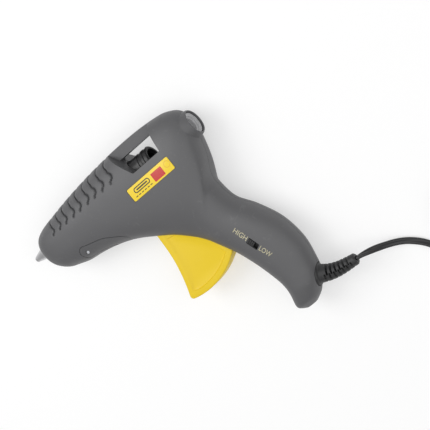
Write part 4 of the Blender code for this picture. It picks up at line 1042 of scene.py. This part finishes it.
TRIGGER_YELLOW = moulded("trigger_yellow", (0.86, 0.62, 0.012), (0.8, 0.56, 0.01), (0.38, 0.5), 0.02, 2400.0,
                         (0.9, 0.75, 0.3))
finished(trigger_piece(), TRIGGER_YELLOW, "trigger", ("trigger",))

# ------------------------------------------------------------------ temperature switch
# A two-place slide switch in the handle. A ribbed black knob runs in a slot, and HIGH and
# LOW are printed at its two ends in a pale ink.
def slider_piece():
    piece = handle_slab("switch_knob", 13.5, 8.0, 10.4, 12.2, -1.7)
    knob = handle_slab("knob", 6.0, 4.6, 12.0, 17.4, -1.7)
    edge = knob.modifiers.new("edge", "BEVEL")
    edge.width = 0.4 * MM
    edge.segments = 3
    edge.angle_limit = math.radians(50)
    graph = bpy.context.evaluated_depsgraph_get()
    knob.data = bpy.data.meshes.new_from_object(knob.evaluated_get(graph))
    knob.modifiers.clear()
    for k in (-1.6, 0.0, 1.6):
        boolean(knob, handle_slab("groove", 0.7, 9.0, 16.6, 20.0, k - 1.7, 0.1), "DIFFERENCE")
    return shaded(boolean(piece, knob, "UNION"))


finished(slider_piece(), DARK_PLASTIC, "switch", ("switch_slider",))
refinished(DARK_PLASTIC, "switch_body", "dropping_diode")


def surface_of(piece):
    mesh = piece.data
    return BVHTree.FromPolygons([v.co for v in mesh.vertices], [list(p.vertices) for p in mesh.polygons])


def printed_word(word, start, end, height):
    """A word laid on the handle's skin, from start to end along its foot."""
    curve = bpy.data.curves.new(word, "FONT")
    curve.body = word
    curve.resolution_u = 3
    flat = bpy.data.objects.new(word, curve)
    bpy.context.scene.collection.objects.link(flat)
    graph = bpy.context.evaluated_depsgraph_get()
    mesh = bpy.data.meshes.new_from_object(flat.evaluated_get(graph))
    bpy.data.objects.remove(flat)
    xs = [v.co.x for v in mesh.vertices]
    ys = [v.co.y for v in mesh.vertices]
    start, end = Vector((*start, 0)), Vector((*end, 0))
    run = end - start
    rise = HANDLE_BACK * height
    skin_tree = surface_of(left_half)
    for v in mesh.vertices:
        a = (v.co.x - min(xs)) / (max(xs) - min(xs))
        b = (v.co.y - min(ys)) / (max(ys) - min(ys))
        place = at(*(start + run * a + rise * b))
        place.z = 0.1
        hit = skin_tree.ray_cast(place, Vector((0, 0, -1)))[0]
        v.co = hit + Vector((0, 0, 0.05 * MM))
    piece = bpy.data.objects.new("print_" + word.lower(), mesh)
    bpy.context.scene.collection.objects.link(piece)
    layer = piece.modifiers.new("layer", "SOLIDIFY")
    layer.thickness = 0.09 * MM
    layer.offset = 0.0
    return piece


PALE_INK = moulded("pale_ink", (0.62, 0.57, 0.38), (0.5, 0.46, 0.3), (0.4, 0.5), 0.005, 900.0)
for word, start, end in (("HIGH", (53.9, -13.6), (57.7, -25.5)), ("LOW", (61.5, -37.1), (65.2, -47.2))):
    finished(printed_word(word, start, end, 4.4), PALE_INK)

# ------------------------------------------------------------------ side label
# A printed film in a shallow bed on the left side: a ruled outline with a bar in it, a red
# patch and a row of plain dashes on yellow, with no words.
def print_box_effect():
    """How far a place lies from a box with round corners, less than nothing inside it."""
    inputs = {"Centre X": 0.0, "Centre Y": 0.0, "Half Width": 0.001, "Half Height": 0.001, "Corner": 0.0002}
    group, given, out = effect("print_box", inputs, ("Distance",))
    place = wire(group, "ShaderNodeTexCoord").outputs["Object"]
    apart = wire(group, "ShaderNodeSeparateXYZ", {0: place})

    def math_node(operation, one, two=0.0):
        return wire(group, "ShaderNodeMath", {0: one, 1: two}, operation=operation).outputs[0]

    sides = []
    for axis, centre, half in (("X", "Centre X", "Half Width"), ("Y", "Centre Y", "Half Height")):
        off = math_node("ABSOLUTE", math_node("SUBTRACT", apart.outputs[axis], given[centre]))
        sides.append(math_node("ADD", math_node("SUBTRACT", off, given[half]), given["Corner"]))
    squares = [math_node("POWER", math_node("MAXIMUM", side, 0.0), 2.0) for side in sides]
    outside = math_node("SQRT", math_node("ADD", *squares))
    inside = math_node("MINIMUM", math_node("MAXIMUM", *sides), 0.0)
    group.links.new(math_node("SUBTRACT", math_node("ADD", outside, inside), given["Corner"]),
                    out["Distance"])
    return group


PRINT_BOX = print_box_effect()
LABEL_MARKS = [
    # colour, centre, half width, half height, corner, and half the line's width if it is one
    ((0.03, 0.03, 0.02), (19.9, 60.5), 8.9, 2.4, 2.3, 0.0),
    ((0.9, 0.66, 0.02), (19.9, 60.5), 8.0, 1.5, 1.4, 0.0),
    ((0.03, 0.03, 0.02), (19.9, 60.5), 6.2, 0.62, 0.3, 0.0),
    ((0.55, 0.02, 0.015), (37.6, 58.9), 5.8, 3.8, 0.5, 0.0),
    ((0.75, 0.45, 0.02), (49.0, 60.4), 2.6, 2.6, 2.6, 0.28),
] + [((0.1, 0.08, 0.02), (10.6 + 3.4 * i, 56.2), 1.2, 0.4, 0.2, 0.0) for i in range(6)]


def label_material():
    material = moulded("printed_film", (0.9, 0.66, 0.02), (0.87, 0.62, 0.015), (0.22, 0.32), 0.006, 1200.0)
    tree = material.node_tree
    shader = tree.nodes["Principled BSDF"]
    colour = shader.inputs["Base Color"].links[0].from_socket
    for ink, (x, y), width, height, corner, line in LABEL_MARKS:
        shape = wire(tree, "ShaderNodeGroup", node_tree=PRINT_BOX)
        values = {"Centre X": x, "Centre Y": y, "Half Width": width, "Half Height": height, "Corner": corner}
        for key, value in values.items():
            shape.inputs[key].default_value = value * MM
        distance = shape.outputs["Distance"]
        if line:
            distance = wire(tree, "ShaderNodeMath", {0: distance}, operation="ABSOLUTE").outputs[0]
        mask = wire(tree, "ShaderNodeMapRange", {"Value": distance, "From Min": (line + 0.04) * MM,
                                                 "From Max": (line - 0.04) * MM})
        layer = wire(tree, "ShaderNodeMix", {0: mask.outputs[0], 6: colour, 7: (*ink, 1.0)}, data_type="RGBA")
        colour = layer.outputs[2]
    tree.links.new(colour, shader.inputs["Base Color"])
    return material


label = slab("printed_label", rounded(label_outline(), 1.3), 5, 40)
boolean(label, form(0.02, step=1.3, first=9, last=17), "INTERSECT")
boolean(label, form(0.24, step=1.3, first=9, last=17), "DIFFERENCE")
finished(shaded(label), label_material(), replaced=("side_label",))

# ------------------------------------------------------------------ housing screws
# Six zinc-plated cross-head screws hold the halves together. They go in from the right
# side, down recesses, into bosses of the left half.
def screw_mesh():
    head, seat = -10.7, -8.4
    corners = [(head, 0), (head, 2.0), (head + 0.9, 2.9), (seat, 2.9), (seat, 1.45), (7.2, 1.45), (8.8, 0)]
    pattern = turned("screw", corners, (0, 0, 0), (0, 0, 1), 24)
    pattern.data.transform(Matrix.Translation((0, 0, -HALF_THICKNESS * MM)))
    for x, y in ((2.2, 0.45), (0.45, 2.2)):
        slot = block((-x, -y, head - 1), (x, y, head + 1.27))
        slot.data.transform(Matrix.Translation((0, 0, -HALF_THICKNESS * MM)))
        boolean(pattern, slot, "DIFFERENCE")
    return pattern


def set_out_tree():
    inputs = {"Screw": "NodeSocketObject", "Seed": "NodeSocketInt", "Material": "NodeSocketMaterial"}
    tree, given, out = geometry_tree("screws_set_out", inputs)
    points = wire(tree, "GeometryNodeMeshToPoints", {"Mesh": given["Geometry"]})
    screw = wire(tree, "GeometryNodeObjectInfo", {"Object": given["Screw"]})
    spin = wire(tree, "FunctionNodeRandomValue", {2: 0.0, 3: 1.6, "Seed": given["Seed"]}, data_type="FLOAT")
    turned_by = wire(tree, "ShaderNodeCombineXYZ", {2: spin.outputs[1]})
    placed = wire(tree, "GeometryNodeInstanceOnPoints", {"Points": points.outputs[0],
                                                         "Instance": screw.outputs["Geometry"],
                                                         "Rotation": turned_by.outputs[0]})
    closing_nodes(tree, placed.outputs[0], given, out)
    return tree


pattern = screw_mesh()
places = bpy.data.meshes.new("places")
places.from_pydata([tuple(at(x, y, 0)) for x, y in SCREW_PLACES], [], [])
screws = grown("cross_screws", set_out_tree(), {"Screw": pattern, "Seed": 4, "Material": ZINC_PLATE}, places)
bpy.data.objects.remove(pattern)
finished(shaded(screws), ZINC_PLATE, replaced=[f"housing_screw_{i}" for i in range(1, 7)])
refinished(ZINC_PLATE, "clamp_screw_1", "clamp_screw_2")

# ------------------------------------------------------------------ wiring
# The lead's end comes in through the sleeve, under a clamp bar, and splits into insulated
# wires to the switch and the heater.
WHITE_WIRE = moulded("white_wire", (0.72, 0.72, 0.7), (0.62, 0.62, 0.6), (0.35, 0.5), 0.01, 900.0)
BLACK_WIRE = moulded("black_wire", (0.018, 0.018, 0.018), (0.012, 0.012, 0.012), (0.35, 0.5), 0.01, 900.0)
refinished(WHITE_WIRE, "neutral_lead")
refinished(BLACK_WIRE, "switched_lead", "live_lead")
refinished(BLACK_RUBBER, "inner_cord")

# ------------------------------------------------------------------ floor and light
# A pale sweep that gives off a little light, so that it stays white, under three large
# soft lamps.
floor = new_piece("floor", [(-3, -3, 0), (3, -3, 0), (3, 3, 0), (-3, 3, 0)], [[0, 1, 2, 3]])
floor_paint = bpy.data.materials.new("floor_paint")
floor_paint.use_nodes = True
paint = floor_paint.node_tree.nodes["Principled BSDF"]
paint.inputs["Base Color"].default_value = (0.5, 0.5, 0.5, 1)
paint.inputs["Roughness"].default_value = 0.9
paint.inputs["Emission Color"].default_value = (1, 1, 1, 1)
paint.inputs["Emission Strength"].default_value = 0.5
floor.data.materials.append(floor_paint)

for name, place, size, power in (("key", (-0.5, 0.7, 1.1), 0.9, 7.8), ("fill", (0.9, -0.3, 1.0), 1.1, 4.2),
                                 ("top", (0.0, 0.0, 1.6), 1.6, 6.6)):
    lamp = bpy.data.objects.new(name, bpy.data.lights.new(name, "AREA"))
    lamp.data.energy = power
    lamp.data.size = size
    lamp.location = place
    lamp.rotation_euler = (TARGET - Vector(place)).to_track_quat("-Z", "Y").to_euler()
    bpy.context.scene.collection.objects.link(lamp)
sky = bpy.data.worlds.new("sky")
sky.use_nodes = True
sky.node_tree.nodes["Background"].inputs["Color"].default_value = (1, 1, 1, 1)
sky.node_tree.nodes["Background"].inputs["Strength"].default_value = 0.38
bpy.context.scene.world = sky
bpy.context.scene.view_settings.view_transform = "Standard"
